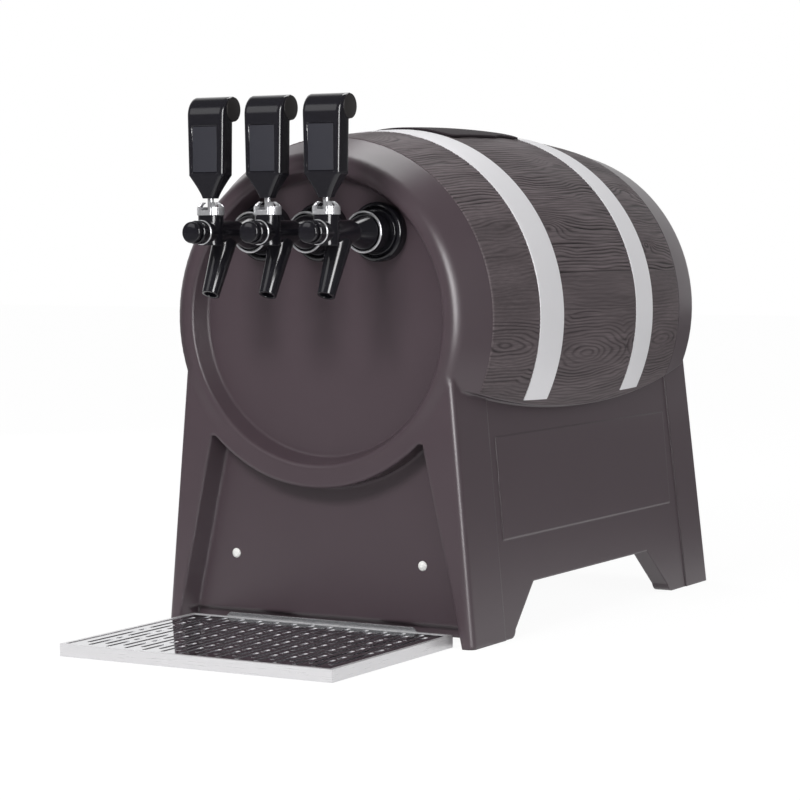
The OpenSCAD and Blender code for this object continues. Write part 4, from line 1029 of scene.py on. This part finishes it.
@dataclass
class LeverHandle:
    """One tap's handle, with its bare label field and the caps on the ends of its roll.

    Heights are measured from the handle's foot and depths from its front. The neck widens to the body,
    the body spreads a little more to the top, and the roll lies behind the top.
    """

    side: str
    neck_height: float = 22.0
    neck_half: float = 6.75
    half_width: float = 20.0
    depth: float = 20.0
    corner: float = 4.6
    corner_share: float = 0.45
    spread: float = 1.5
    top_round: float = 1.0
    roll_r: float = 12.2
    label_half: float = 14.5
    label_low: float = 24.5
    label_high: float = 69.0
    label_depth: float = 0.9
    lip: float = 0.45
    lip_share: float = 0.8
    plate_gap: float = 0.7
    plate_face: float = 0.25
    plate_inset: float = 0.4
    plate_bevel: float = 0.2
    plate_sink: float = 0.3
    cap_gap: float = 0.5
    cap_proud: float = 0.35
    cap_round: float = 0.4
    cap_sink: float = 1.5
    cap_spread: float = 0.84
    cap_steps: int = 48

    def __post_init__(self) -> None:
        """Take the handle's size and place from its node."""
        self.node = f"tap_handle_{self.side}"
        self.body = f"lever_{self.side}"
        self.box = NodeBox.of(self.node)
        self.foot = np.array([self.box.middle[0], self.box.low[1], self.box.low[2]])
        self.roll_y, self.roll_z = self.box.sides[1:] - self.roll_r
        self.lips = np.array([-self.lip, self.lip])

    def levels(self) -> np.ndarray:
        """Heights of the handle's sections, closest together at the lips of the label field."""
        return np.unique(np.concatenate([
            np.linspace(0.0, self.neck_height, 15),
            self.label_low + self.lips,
            self.label_high + self.lips,
            np.linspace(self.neck_height, self.roll_z - self.roll_r, 8),
            self.roll_z - self.roll_r * np.cos(np.linspace(0.0, np.pi, 40)),
        ]))

    def flanks(self, height: np.ndarray) -> tuple[np.ndarray, np.ndarray, np.ndarray]:
        """The handle's half width, front and rear.

        The neck widens as (height / neck height)^1.2. The front turns back over a quarter round to the
        roll's top, r - sqrt(r^2 - up^2), and the rear bulges over the roll by sqrt(r^2 - up^2).

        Args:
            height: Heights of the sections.

        Returns:
            Half width, front and rear at each height.
        """
        tall = self.box.sides[2]
        grow = np.clip(height / self.neck_height, 0.0, 1.0) ** 1.2
        over = np.clip(height - (tall - self.top_round), 0.0, self.top_round)
        shoulder = self.top_round - np.sqrt(self.top_round ** 2 - over ** 2)
        above = np.clip(height - self.neck_height, 0.0, None) / (tall - self.neck_height)
        half = self.neck_half + (self.half_width - self.neck_half) * grow - shoulder + self.spread * above
        bend = np.clip(height - (tall - self.roll_y), 0.0, self.roll_y)
        front = self.roll_y - np.sqrt(self.roll_y ** 2 - bend ** 2)
        swell = np.sqrt(np.clip(self.roll_r ** 2 - (height - self.roll_z) ** 2, 0.0, None))
        bulge = self.roll_y + swell
        rear = np.where(height > self.roll_z, bulge, np.maximum(self.depth, bulge))
        taper = (self.depth / 2.0 - self.neck_half) * (1.0 - grow)
        return half, front + taper, rear - taper

    @staticmethod
    def section(face: np.ndarray) -> tuple[np.ndarray, np.ndarray, np.ndarray]:
        """Where a rounded rectangle's points sit.

        Args:
            face: Places along the front and rear sides, from -1 to 1.

        Returns:
            For each point, the side or corner that it belongs to in x and y, from -1 to 1, and the
            direction in radians in which the corner radius reaches out from there.
        """
        arc = np.linspace(0.0, np.pi / 2.0, 7)
        side = np.linspace(-1.0, 1.0, 5)[1:-1]
        inner = face[1:-1]
        runs = [
            (inner, np.full(inner.size, -1.0), np.full(inner.size, -np.pi / 2.0)),
            (np.ones(arc.size), -np.ones(arc.size), arc - np.pi / 2.0),
            (np.ones(side.size), side, np.zeros(side.size)),
            (np.ones(arc.size), np.ones(arc.size), arc),
            (inner[::-1], np.ones(inner.size), np.full(inner.size, np.pi / 2.0)),
            (-np.ones(arc.size), np.ones(arc.size), arc + np.pi / 2.0),
            (-np.ones(side.size), side[::-1], np.full(side.size, np.pi)),
            (-np.ones(arc.size), -np.ones(arc.size), arc + np.pi),
        ]
        return tuple(np.concatenate(column)[None, :] for column in zip(*runs))

    def grip(self) -> bpy.types.Object:
        """Build the handle as a stack of level sections.

        A section is a rounded rectangle that fills the flanks, and the label field sinks its front by
        cubic ramps between the field's four edges.

        Returns:
            The finished piece.
        """
        height = self.levels()
        half, front, rear = (flank[:, None] for flank in self.flanks(height))
        corner = np.minimum(self.corner, self.corner_share * (rear - front))
        edges = np.concatenate([-self.label_half + self.lips, self.label_half + self.lips])
        field_edges = edges / (self.half_width - self.corner)
        face = np.unique(np.concatenate([np.linspace(-1.0, 1.0, 17), field_edges]))
        anchor_x, anchor_y, lean = self.section(face)
        x = anchor_x * (half - corner) + corner * np.cos(lean)
        y = (front + rear) / 2.0 + anchor_y * ((rear - front) / 2.0 - corner) + corner * np.sin(lean)
        z = height[:, None] + 0.0 * x
        lip = self.lip_share * self.lip
        inside = (self.label_half - np.abs(x), z - self.label_low, self.label_high - z)
        sunk = np.prod([ramp(-lip, lip, gap) for gap in inside], axis=0)
        on_front = (anchor_y < 0.0) & (np.abs(anchor_x) < 1.0)
        y = y + self.label_depth * sunk * on_front
        work = Patchwork(f"lever_handle_{self.side}")
        work.add_tube(np.stack([x, y, z], axis=-1) * MM + self.foot)
        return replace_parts(work.build(HANDLE, self.body), self.node)

    def label_field(self) -> bpy.types.Object:
        """Build the bare label field: a thin plate with bevelled edges lying in the handle's recess.

        Returns:
            The finished piece.
        """
        half = self.label_half - self.plate_gap
        low, high = self.label_low + self.plate_gap, self.label_high - self.plate_gap
        corners = np.array([(-half, low), (half, low), (half, high), (-half, high)])
        centre = corners.mean(axis=0)
        back, edge = self.label_depth + self.plate_sink, self.plate_face + self.plate_bevel
        rings = []
        for inset, depth in ((0.0, back), (0.0, edge), (self.plate_inset, self.plate_face)):
            x, z = (centre + (corners - centre) * (1.0 - inset / half)).T
            rings.append(np.column_stack([x, np.full(4, depth), z]))
        work = Patchwork(f"label_field_{self.side}")
        work.add_tube(np.array(rings) * MM + self.foot)
        return work.build(LABEL, self.body)

    def roll_caps(self) -> bpy.types.Object:
        """Build the round end caps of the handle's roll, one on each side.

        Returns:
            The finished piece.
        """
        radius = self.roll_r - self.cap_gap
        out = self.cap_spread * self.spread * MM
        outline = rounded_outline([
            (AXIS_GAP, self.cap_proud, 0.0), (radius, self.cap_proud, self.cap_round),
            (radius, -self.cap_sink, 0.0), (AXIS_GAP, -self.cap_sink, 0.0),
        ])
        roll_y, roll_z = self.box.high[1:] - self.roll_r * MM
        work = Patchwork(f"roll_caps_{self.side}")
        for x, way in ((self.box.low[0] - out, -1.0), (self.box.high[0] + out, 1.0)):
            centre = np.array([x, roll_y, roll_z])
            work.add_tube(turned(outline * np.array([1.0, way]), centre, Axis.SIDEWAYS, self.cap_steps))
        return work.build(ROLL_END, self.body)

    def make(self) -> None:
        """Build the handle and what it carries."""
        self.grip()
        self.label_field()
        self.roll_caps()


@dataclass
class CrownNut:
    """One tap's crown nut: a ribbed band with claws that lean in over its bore.

    The band takes band_share of the nut's height, and gap_share within the front gap that lets the
    pulled lever's stem through. The front claws stand apart for the same reason.
    """

    side: str
    wall: float = 3.4
    inset: float = 0.3
    foot_round: float = 0.4
    top_round: float = 0.7
    band_share: float = 0.63
    steps: int = 240
    ribs: int = 36
    rib_swell: float = 0.006
    rib_edge: float = 0.2
    gap_deg: Span = (24.0, 32.0)
    gap_share: float = 0.38
    claws_deg: tuple[float, ...] = (0.0, 60.0, 120.0, 180.0, 222.0, 318.0)
    claw_half_deg: float = 16.0
    claw_waist_deg: float = 4.0
    claw_inset: float = 0.6
    claw_lean: float = 4.6
    claw_thick: float = 1.7
    claw_root: float = 1.0
    claw_slope: float = 0.6

    def __post_init__(self) -> None:
        """Take the nut's size and place from its node."""
        self.node = f"crown_nut_{self.side}"
        box = NodeBox.of(self.node)
        self.centre = box.end(Axis.UPRIGHT)
        self.outer, self.tall = box.sides[0] / 2.0, box.sides[2]
        self.band_top = self.band_share * self.tall

    def band(self) -> np.ndarray:
        """The band: its radius swells by cos(ribs * angle), and its height drops in the front gap.

        Returns:
            Rings of points round the nut, one for each point of the band's section.
        """
        bore, rim = self.outer - self.wall, self.outer - self.inset
        outline = rounded_outline([
            (bore, 0.0, 0.0), (rim, 0.0, self.foot_round),
            (rim, self.band_top, self.top_round), (bore, self.band_top, 0.0),
        ])
        radius, rise = outline[:, :1], outline[:, 1:]
        angle = full_turn(self.steps)
        ribbed = radius > rim - self.rib_edge
        swell = 1.0 + self.rib_swell * np.cos(self.ribs * angle) * ribbed
        gap = 1.0 - ramp(*self.gap_deg, np.abs(np.degrees(angle) - FRONT_DEG))
        drop = 1.0 - gap * (1.0 - self.gap_share * self.tall / self.band_top)
        return about(Axis.UPRIGHT, self.centre, radius * swell, angle, rise * drop)

    def claw(self, middle_deg: float) -> np.ndarray:
        """A claw: a strip whose radius falls as t^2 while it rises, with a waist of sin(pi t).

        Args:
            middle_deg: Where the claw's middle stands round the nut.

        Returns:
            Rings of points from the claw's root to its tip.
        """
        t = np.linspace(0.0, 1.0, 9)[:, None]
        across = np.concatenate([np.linspace(-1.0, 1.0, 5), np.linspace(1.0, -1.0, 5)])[None, :]
        inner = np.repeat([0.0, 1.0], 5)[None, :]
        radius = self.outer - self.claw_inset - self.claw_lean * t ** 2 - self.claw_thick * inner
        root = self.band_top - self.claw_root
        rise = root + (self.tall - root) * t - self.claw_slope * inner * t
        half = np.radians(self.claw_half_deg - self.claw_waist_deg * np.sin(np.pi * t))
        return about(Axis.UPRIGHT, self.centre, radius, math.radians(middle_deg) + across * half, rise)

    def make(self) -> bpy.types.Object:
        """Build the nut from its band and its claws.

        Returns:
            The finished piece.
        """
        work = Patchwork(f"crown_{self.side}")
        work.add_ring(self.band())
        for middle_deg in self.claws_deg:
            work.add_tube(self.claw(middle_deg))
        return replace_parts(work.build(CHROME, "cabinet"), self.node)


@dataclass
class KnurledCollar:
    """One tap's knurled collar.

    nose and tail step in from the knurls: pairs of the depth below their crests, and of the distance
    from the collar's front or rear.
    """

    side: str
    bore: float = 12.0
    knurls: int = 84
    knurl_rows: int = 44
    knurl_pitch: float = 1.9
    knurl_depth: float = 0.55
    knurl_start: float = 1.2
    knurl_stop: float = 4.2
    nose: tuple[Span, ...] = ((1.2, 0.0), (0.4, 0.4))
    tail: tuple[Span, ...] = ((0.6, 3.6), (1.5, 3.0), (1.5, 0.0))

    def make(self) -> bpy.types.Object:
        """Build the collar.

        Its radius falls from the crest by depth * (1 - |sin(n a / 2 + q y)| |sin(n a / 2 - q y)|),
        which leaves rows of small diamonds.

        Returns:
            The finished piece.
        """
        node = f"coupling_collar_{self.side}"
        box = NodeBox.of(node)
        crest, length = box.sides[0] / 2.0, box.sides[1]
        nose = np.array([(self.bore, 0.0), *((crest - down, back) for down, back in self.nose)])
        tail = np.array([*((crest - down, length - ahead) for down, ahead in self.tail), (self.bore, length)])
        rows = np.linspace(self.knurl_start, length - self.knurl_stop, self.knurl_rows)[:, None]
        angle = full_turn(4 * self.knurls)
        half_turn = self.knurls * angle / 2.0
        twist = rows * np.pi / self.knurl_pitch
        diamonds = np.abs(np.sin(half_turn + twist) * np.sin(half_turn - twist))
        knurled = crest - self.knurl_depth * (1.0 - diamonds)
        even = np.zeros_like(angle)
        radius = np.concatenate([nose[:, :1] + even, knurled, tail[:, :1] + even])
        along = np.concatenate([nose[:, 1:], rows, tail[:, 1:]])
        work = Patchwork(f"knurled_collar_{self.side}")
        work.add_ring(about(Axis.FORE_AFT, box.end(Axis.FORE_AFT), radius, angle, along))
        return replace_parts(work.build(GLOSS, "cabinet"), node)


@dataclass
class PushButton:
    """One tap's front button: a capped plug with a domed nose and a stem."""

    side: str
    dome_r: float = 6.18
    dome_drop: float = 0.3
    dome_round: float = 3.0
    cap_r: float = 10.3
    cap_start: float = 1.8
    cap_round: float = 1.6
    cap_end: float = 5.0
    cap_edge: float = 0.3
    plug_end: float = 12.0
    stem_r: float = 3.0
    steps: int = 64

    def make(self) -> bpy.types.Object:
        """Build the button by turning its outline about its axis.

        Returns:
            The finished piece.
        """
        node = f"front_button_{self.side}"
        box = NodeBox.of(node)
        plug_r, length = box.sides[0] / 2.0, box.sides[1]
        outline = rounded_outline([
            (AXIS_GAP, 0.0, 0.0), (self.dome_r, self.dome_drop, self.dome_round),
            (self.cap_r, self.cap_start, self.cap_round), (self.cap_r, self.cap_end, self.cap_edge),
            (plug_r, self.cap_end, 0.0), (plug_r, self.plug_end, 0.0), (self.stem_r, self.plug_end, 0.0),
            (self.stem_r, length, 0.0), (AXIS_GAP, length, 0.0),
        ])
        work = Patchwork(f"push_button_{self.side}")
        work.add_tube(turned(outline, box.end(Axis.FORE_AFT), Axis.FORE_AFT, self.steps))
        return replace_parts(work.build(GLOSS, f"button_{self.side}"), node)


@dataclass
class PaintedSlotGlints:
    """Painted highlights at the ends of the drip grate's slots: thin near-white half rings that line them."""

    slot_width: float = 4.2
    pitch: float = 10.3
    long_slot: float = 76.0
    short_slot: float = 13.0
    bridge: float = 6.0
    sheet: float = 1.5
    lining: float = 0.3
    overlap: float = 0.03
    proud: float = 0.05
    arc_deg: Span = (20.0, 160.0)
    arc_steps: int = 13

    def slots(self) -> np.ndarray:
        """Lay out the slots: long and short by turns in each row, and every other row shifted.

        Returns:
            A row for each slot: its sideways place, its near end and its far end, in millimetres from
            the grate's middle.
        """
        width, length, _ = NodeBox.of("drip_grate").sides
        rows = math.floor((width - 2.0 * self.bridge - self.slot_width) / self.pitch / 2.0)
        period = self.long_slot + self.short_slot + 2.0 * self.bridge
        reach = length / 2.0 - self.bridge
        counts = (np.arange(-rows, rows + 1), np.arange(-3, 4), np.arange(2))
        row, turn, kind = np.meshgrid(*counts, indexing="ij")
        middle = period * (turn + 0.5 * kind + 0.5 * (np.abs(row) % 2))
        half = np.where(kind == 0, self.long_slot, self.short_slot) / 2.0
        near, far = np.maximum(middle - half, -reach), np.minimum(middle + half, reach)
        return np.stack([row * self.pitch, near, far], axis=-1)[far - near > 2.0 * self.slot_width]

    def make(self) -> bpy.types.Object:
        """Line both round ends of each slot with a thin half ring of the sheet's full thickness, in a
        near-white finish that paints the highlights there.

        Returns:
            The finished piece.
        """
        box = NodeBox.of("drip_grate")
        centre = np.array([*box.middle[:2], box.high[2]])
        section = np.array([
            (self.overlap, self.proud), (-self.lining, self.proud),
            (-self.lining, -self.sheet), (self.overlap, -self.sheet),
        ])
        angle = np.linspace(*np.radians(self.arc_deg), self.arc_steps)[:, None]
        slot_r = self.slot_width / 2.0
        radius = slot_r + section[:, 0]
        work = Patchwork("grate_painted_slot_glints")
        for across, near, far in self.slots():
            for end, way in ((far - slot_r, 1.0), (near + slot_r, -1.0)):
                x, y = across + way * radius * np.cos(angle), end + way * radius * np.sin(angle)
                work.add_tube(np.stack([x, y, section[:, 1] + 0.0 * x], axis=-1) * MM + centre)
        # The linings' near-white finish is painted highlight at the slot ends.
        return work.build(PAINTED_GLINT_STEEL, "grate", sharp_deg=80.0)


@dataclass(frozen=True)
class Lamp:
    """A soft rectangular lamp: what it does, its place, size and power in watts, and the point it faces."""

    name: str
    use: LampUse
    place: Triple
    size: Span
    power: float
    aim: Triple = (0.0, 0.0, 0.25)

    def hang(self) -> None:
        """Hang the lamp, facing its aim."""
        data = bpy.data.lights.new(self.name, "AREA")
        data.shape = "RECTANGLE"
        data.size, data.size_y = self.size
        data.energy = self.power
        lamp = bpy.data.objects.new(self.name, data)
        lamp.location = self.place
        lamp.visible_diffuse = self.use is LampUse.SOFT
        lamp.visible_glossy = self.use is LampUse.GLOSS
        lamp.rotation_euler = (Vector(self.aim) - Vector(self.place)).to_track_quat("-Z", "Y").to_euler()
        bpy.context.scene.collection.objects.link(lamp)


@dataclass
class Studio:
    """The pale floor, the soft lights and the camera, in metres.

    The surround gives ambient light, looks white to the camera and dim in gloss, save for a white
    backdrop in one direction. The floor glows to the camera and to gloss, where it darkens with distance.
    """

    eye: Triple = (1.31994, -2.30046, 0.39754)
    target: Triple = (0.115245, -0.206441, 0.238906)
    roll_deg: float = -0.194
    lens: float = 115.2
    sensor: float = 36.0
    ambient: float = 0.58
    dim: float = 0.09
    backdrop: Triple = (-0.4986, 0.867, 0.0)
    backdrop_fade: Span = (0.5, 0.9)
    floor_half: float = 9.0
    floor_gap: float = 0.0004
    floor_grey: float = 0.8
    floor_glow: float = 1.06
    glow_seen: float = 0.88
    glow_gloss: float = 0.95
    gloss_fade: Span = (0.5, 1.3)
    gloss_ends: Span = (1.0, 0.16)
    lamps: tuple[Lamp, ...] = (
        Lamp("key", LampUse.SOFT, (0.0, -1.95, 1.45), (0.6, 0.5), 26.0),
        Lamp("right_fill", LampUse.SOFT, (2.2, 0.0, 0.8), (0.9, 0.9), 5.5),
        Lamp("rear_fill", LampUse.SOFT, (-1.9, 1.3, 0.9), (0.9, 0.9), 7.0),
        Lamp("right_softbox", LampUse.GLOSS, (1.83, -1.26, 0.75), (0.75, 1.7), 60.0),
        Lamp("back_softbox", LampUse.GLOSS, (-0.16, 0.67, 1.95), (0.9, 0.6), 10.0, (0.06, -0.15, 0.48)),
        Lamp("sheen_softbox", LampUse.GLOSS, (-1.05, -1.96, 1.55), (1.2, 1.2), 6.0, (0.0, -0.27, 0.5)),
    )

    def camera(self) -> None:
        """Stand the camera where the photograph was taken from."""
        data = bpy.data.cameras.new("camera")
        data.lens = self.lens
        data.sensor_width = self.sensor
        ahead = (Vector(self.target) - Vector(self.eye)).normalized()
        right = ahead.cross(Vector((0.0, 0.0, 1.0))).normalized()
        up = right.cross(ahead)
        turn = Matrix((right, up, -ahead)).transposed().to_4x4()
        camera = bpy.data.objects.new("camera", data)
        spin = Matrix.Rotation(math.radians(self.roll_deg), 4, "Z")
        camera.matrix_world = Matrix.Translation(Vector(self.eye)) @ turn @ spin
        bpy.context.scene.collection.objects.link(camera)
        bpy.context.scene.camera = camera

    def by_ray(self, bench: Bench, seen: object, gloss: object, soft: object) -> Socket:
        """Choose a value by the kind of ray that asks for it.

        Args:
            bench: The tree to work in.
            seen: The value for the camera's own rays.
            gloss: The value for rays off shiny surfaces.
            soft: The value for all other light.

        Returns:
            The chosen value's socket.
        """
        path = bench.add("ShaderNodeLightPath").outputs
        shiny = bench.mix("FLOAT", path["Is Glossy Ray"], soft, gloss)
        return bench.mix("FLOAT", path["Is Camera Ray"], shiny, seen)

    def world(self) -> None:
        """A white surround that lights the object evenly, and whose front half looks dark in gloss.

        A shiny surface sees a white backdrop behind the object and a dim room elsewhere, as in a
        photographer's tent that is open at the front.
        """
        world = bpy.data.worlds.new("studio")
        world.use_nodes = True
        world.node_tree.nodes.clear()
        bench = Bench(world.node_tree)
        away = bench.add("ShaderNodeVectorMath", {"operation": "DOT_PRODUCT"})
        bench.feed(away.inputs[0], bench.add("ShaderNodeTexCoord").outputs["Generated"])
        bench.feed(away.inputs[1], self.backdrop)
        gloss = bench.ranged(away.outputs["Value"], self.backdrop_fade, (self.dim, 1.0))
        strength = self.by_ray(bench, 1.0, gloss, self.ambient)
        back = bench.add("ShaderNodeBackground", Color=WHITE_LIGHT, Strength=strength)
        bench.add("ShaderNodeOutputWorld", Surface=back.outputs[0])
        bpy.context.scene.world = world

    def floor(self) -> None:
        """A wide white floor that keeps a faint shadow of the object."""
        half, low = self.floor_half, CAD_BOX[0].z - self.floor_gap
        mesh = bpy.data.meshes.new("floor")
        corners = [(-half, -half, low), (half, -half, low), (half, half, low), (-half, half, low)]
        mesh.from_pydata(corners, [], [(0, 1, 2, 3)])
        made = bpy.data.materials.new("white_floor")
        made.use_nodes = True
        made.node_tree.nodes.clear()
        bench = Bench(made.node_tree)
        grey = self.floor_grey
        matte = bench.add("ShaderNodeBsdfDiffuse", Color=(grey, grey, grey, 1.0))
        spot = bench.add("ShaderNodeVectorMath", {"operation": "LENGTH"})
        bench.feed(spot.inputs[0], bench.add("ShaderNodeNewGeometry").outputs["Position"])
        gloss = bench.ranged(spot.outputs["Value"], self.gloss_fade, self.gloss_ends)
        strength = self.by_ray(bench, self.floor_glow, gloss, 0.0)
        glow = bench.add("ShaderNodeEmission", Color=WHITE_LIGHT, Strength=strength)
        mixed = bench.add("ShaderNodeMixShader", Fac=self.by_ray(bench, self.glow_seen, self.glow_gloss, 0.0))
        bench.feed(mixed.inputs[1], matte.outputs[0])
        bench.feed(mixed.inputs[2], glow.outputs[0])
        bench.add("ShaderNodeOutputMaterial", Surface=mixed.outputs[0])
        mesh.materials.append(made)
        floor = bpy.data.objects.new("floor", mesh)
        bpy.context.scene.collection.objects.link(floor)

    def make(self) -> None:
        """Set up the whole studio."""
        bpy.context.scene.view_settings.view_transform = "Standard"
        self.camera()
        self.world()
        self.floor()
        for lamp in self.lamps:
            lamp.hang()


def dress_nodes() -> None:
    """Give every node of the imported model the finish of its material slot."""
    for part in frame["record"]["subparts"]:
        node, slot = part["node"], part["material_slot"]
        piece = frame["nodes"][node]
        dress = NODE_FINISHES.get(node, SLOT_FINISHES[slot])
        piece.data.materials.clear()
        piece.data.materials.append(dress.material())
        log.info("%s: %s", node, dress.label)


def main() -> None:
    """Set up the studio, dress the nodes and build the finer pieces."""
    logging.basicConfig(level=logging.INFO, format="%(name)s: %(message)s")
    Studio().make()
    dress_nodes()
    BarrelShell().make()
    for side in SIDES:
        for form in (LeverHandle, CrownNut, KnurledCollar, PushButton):
            form(side).make()
    PaintedSlotGlints().make()


if __name__ == "__main__":
    main()
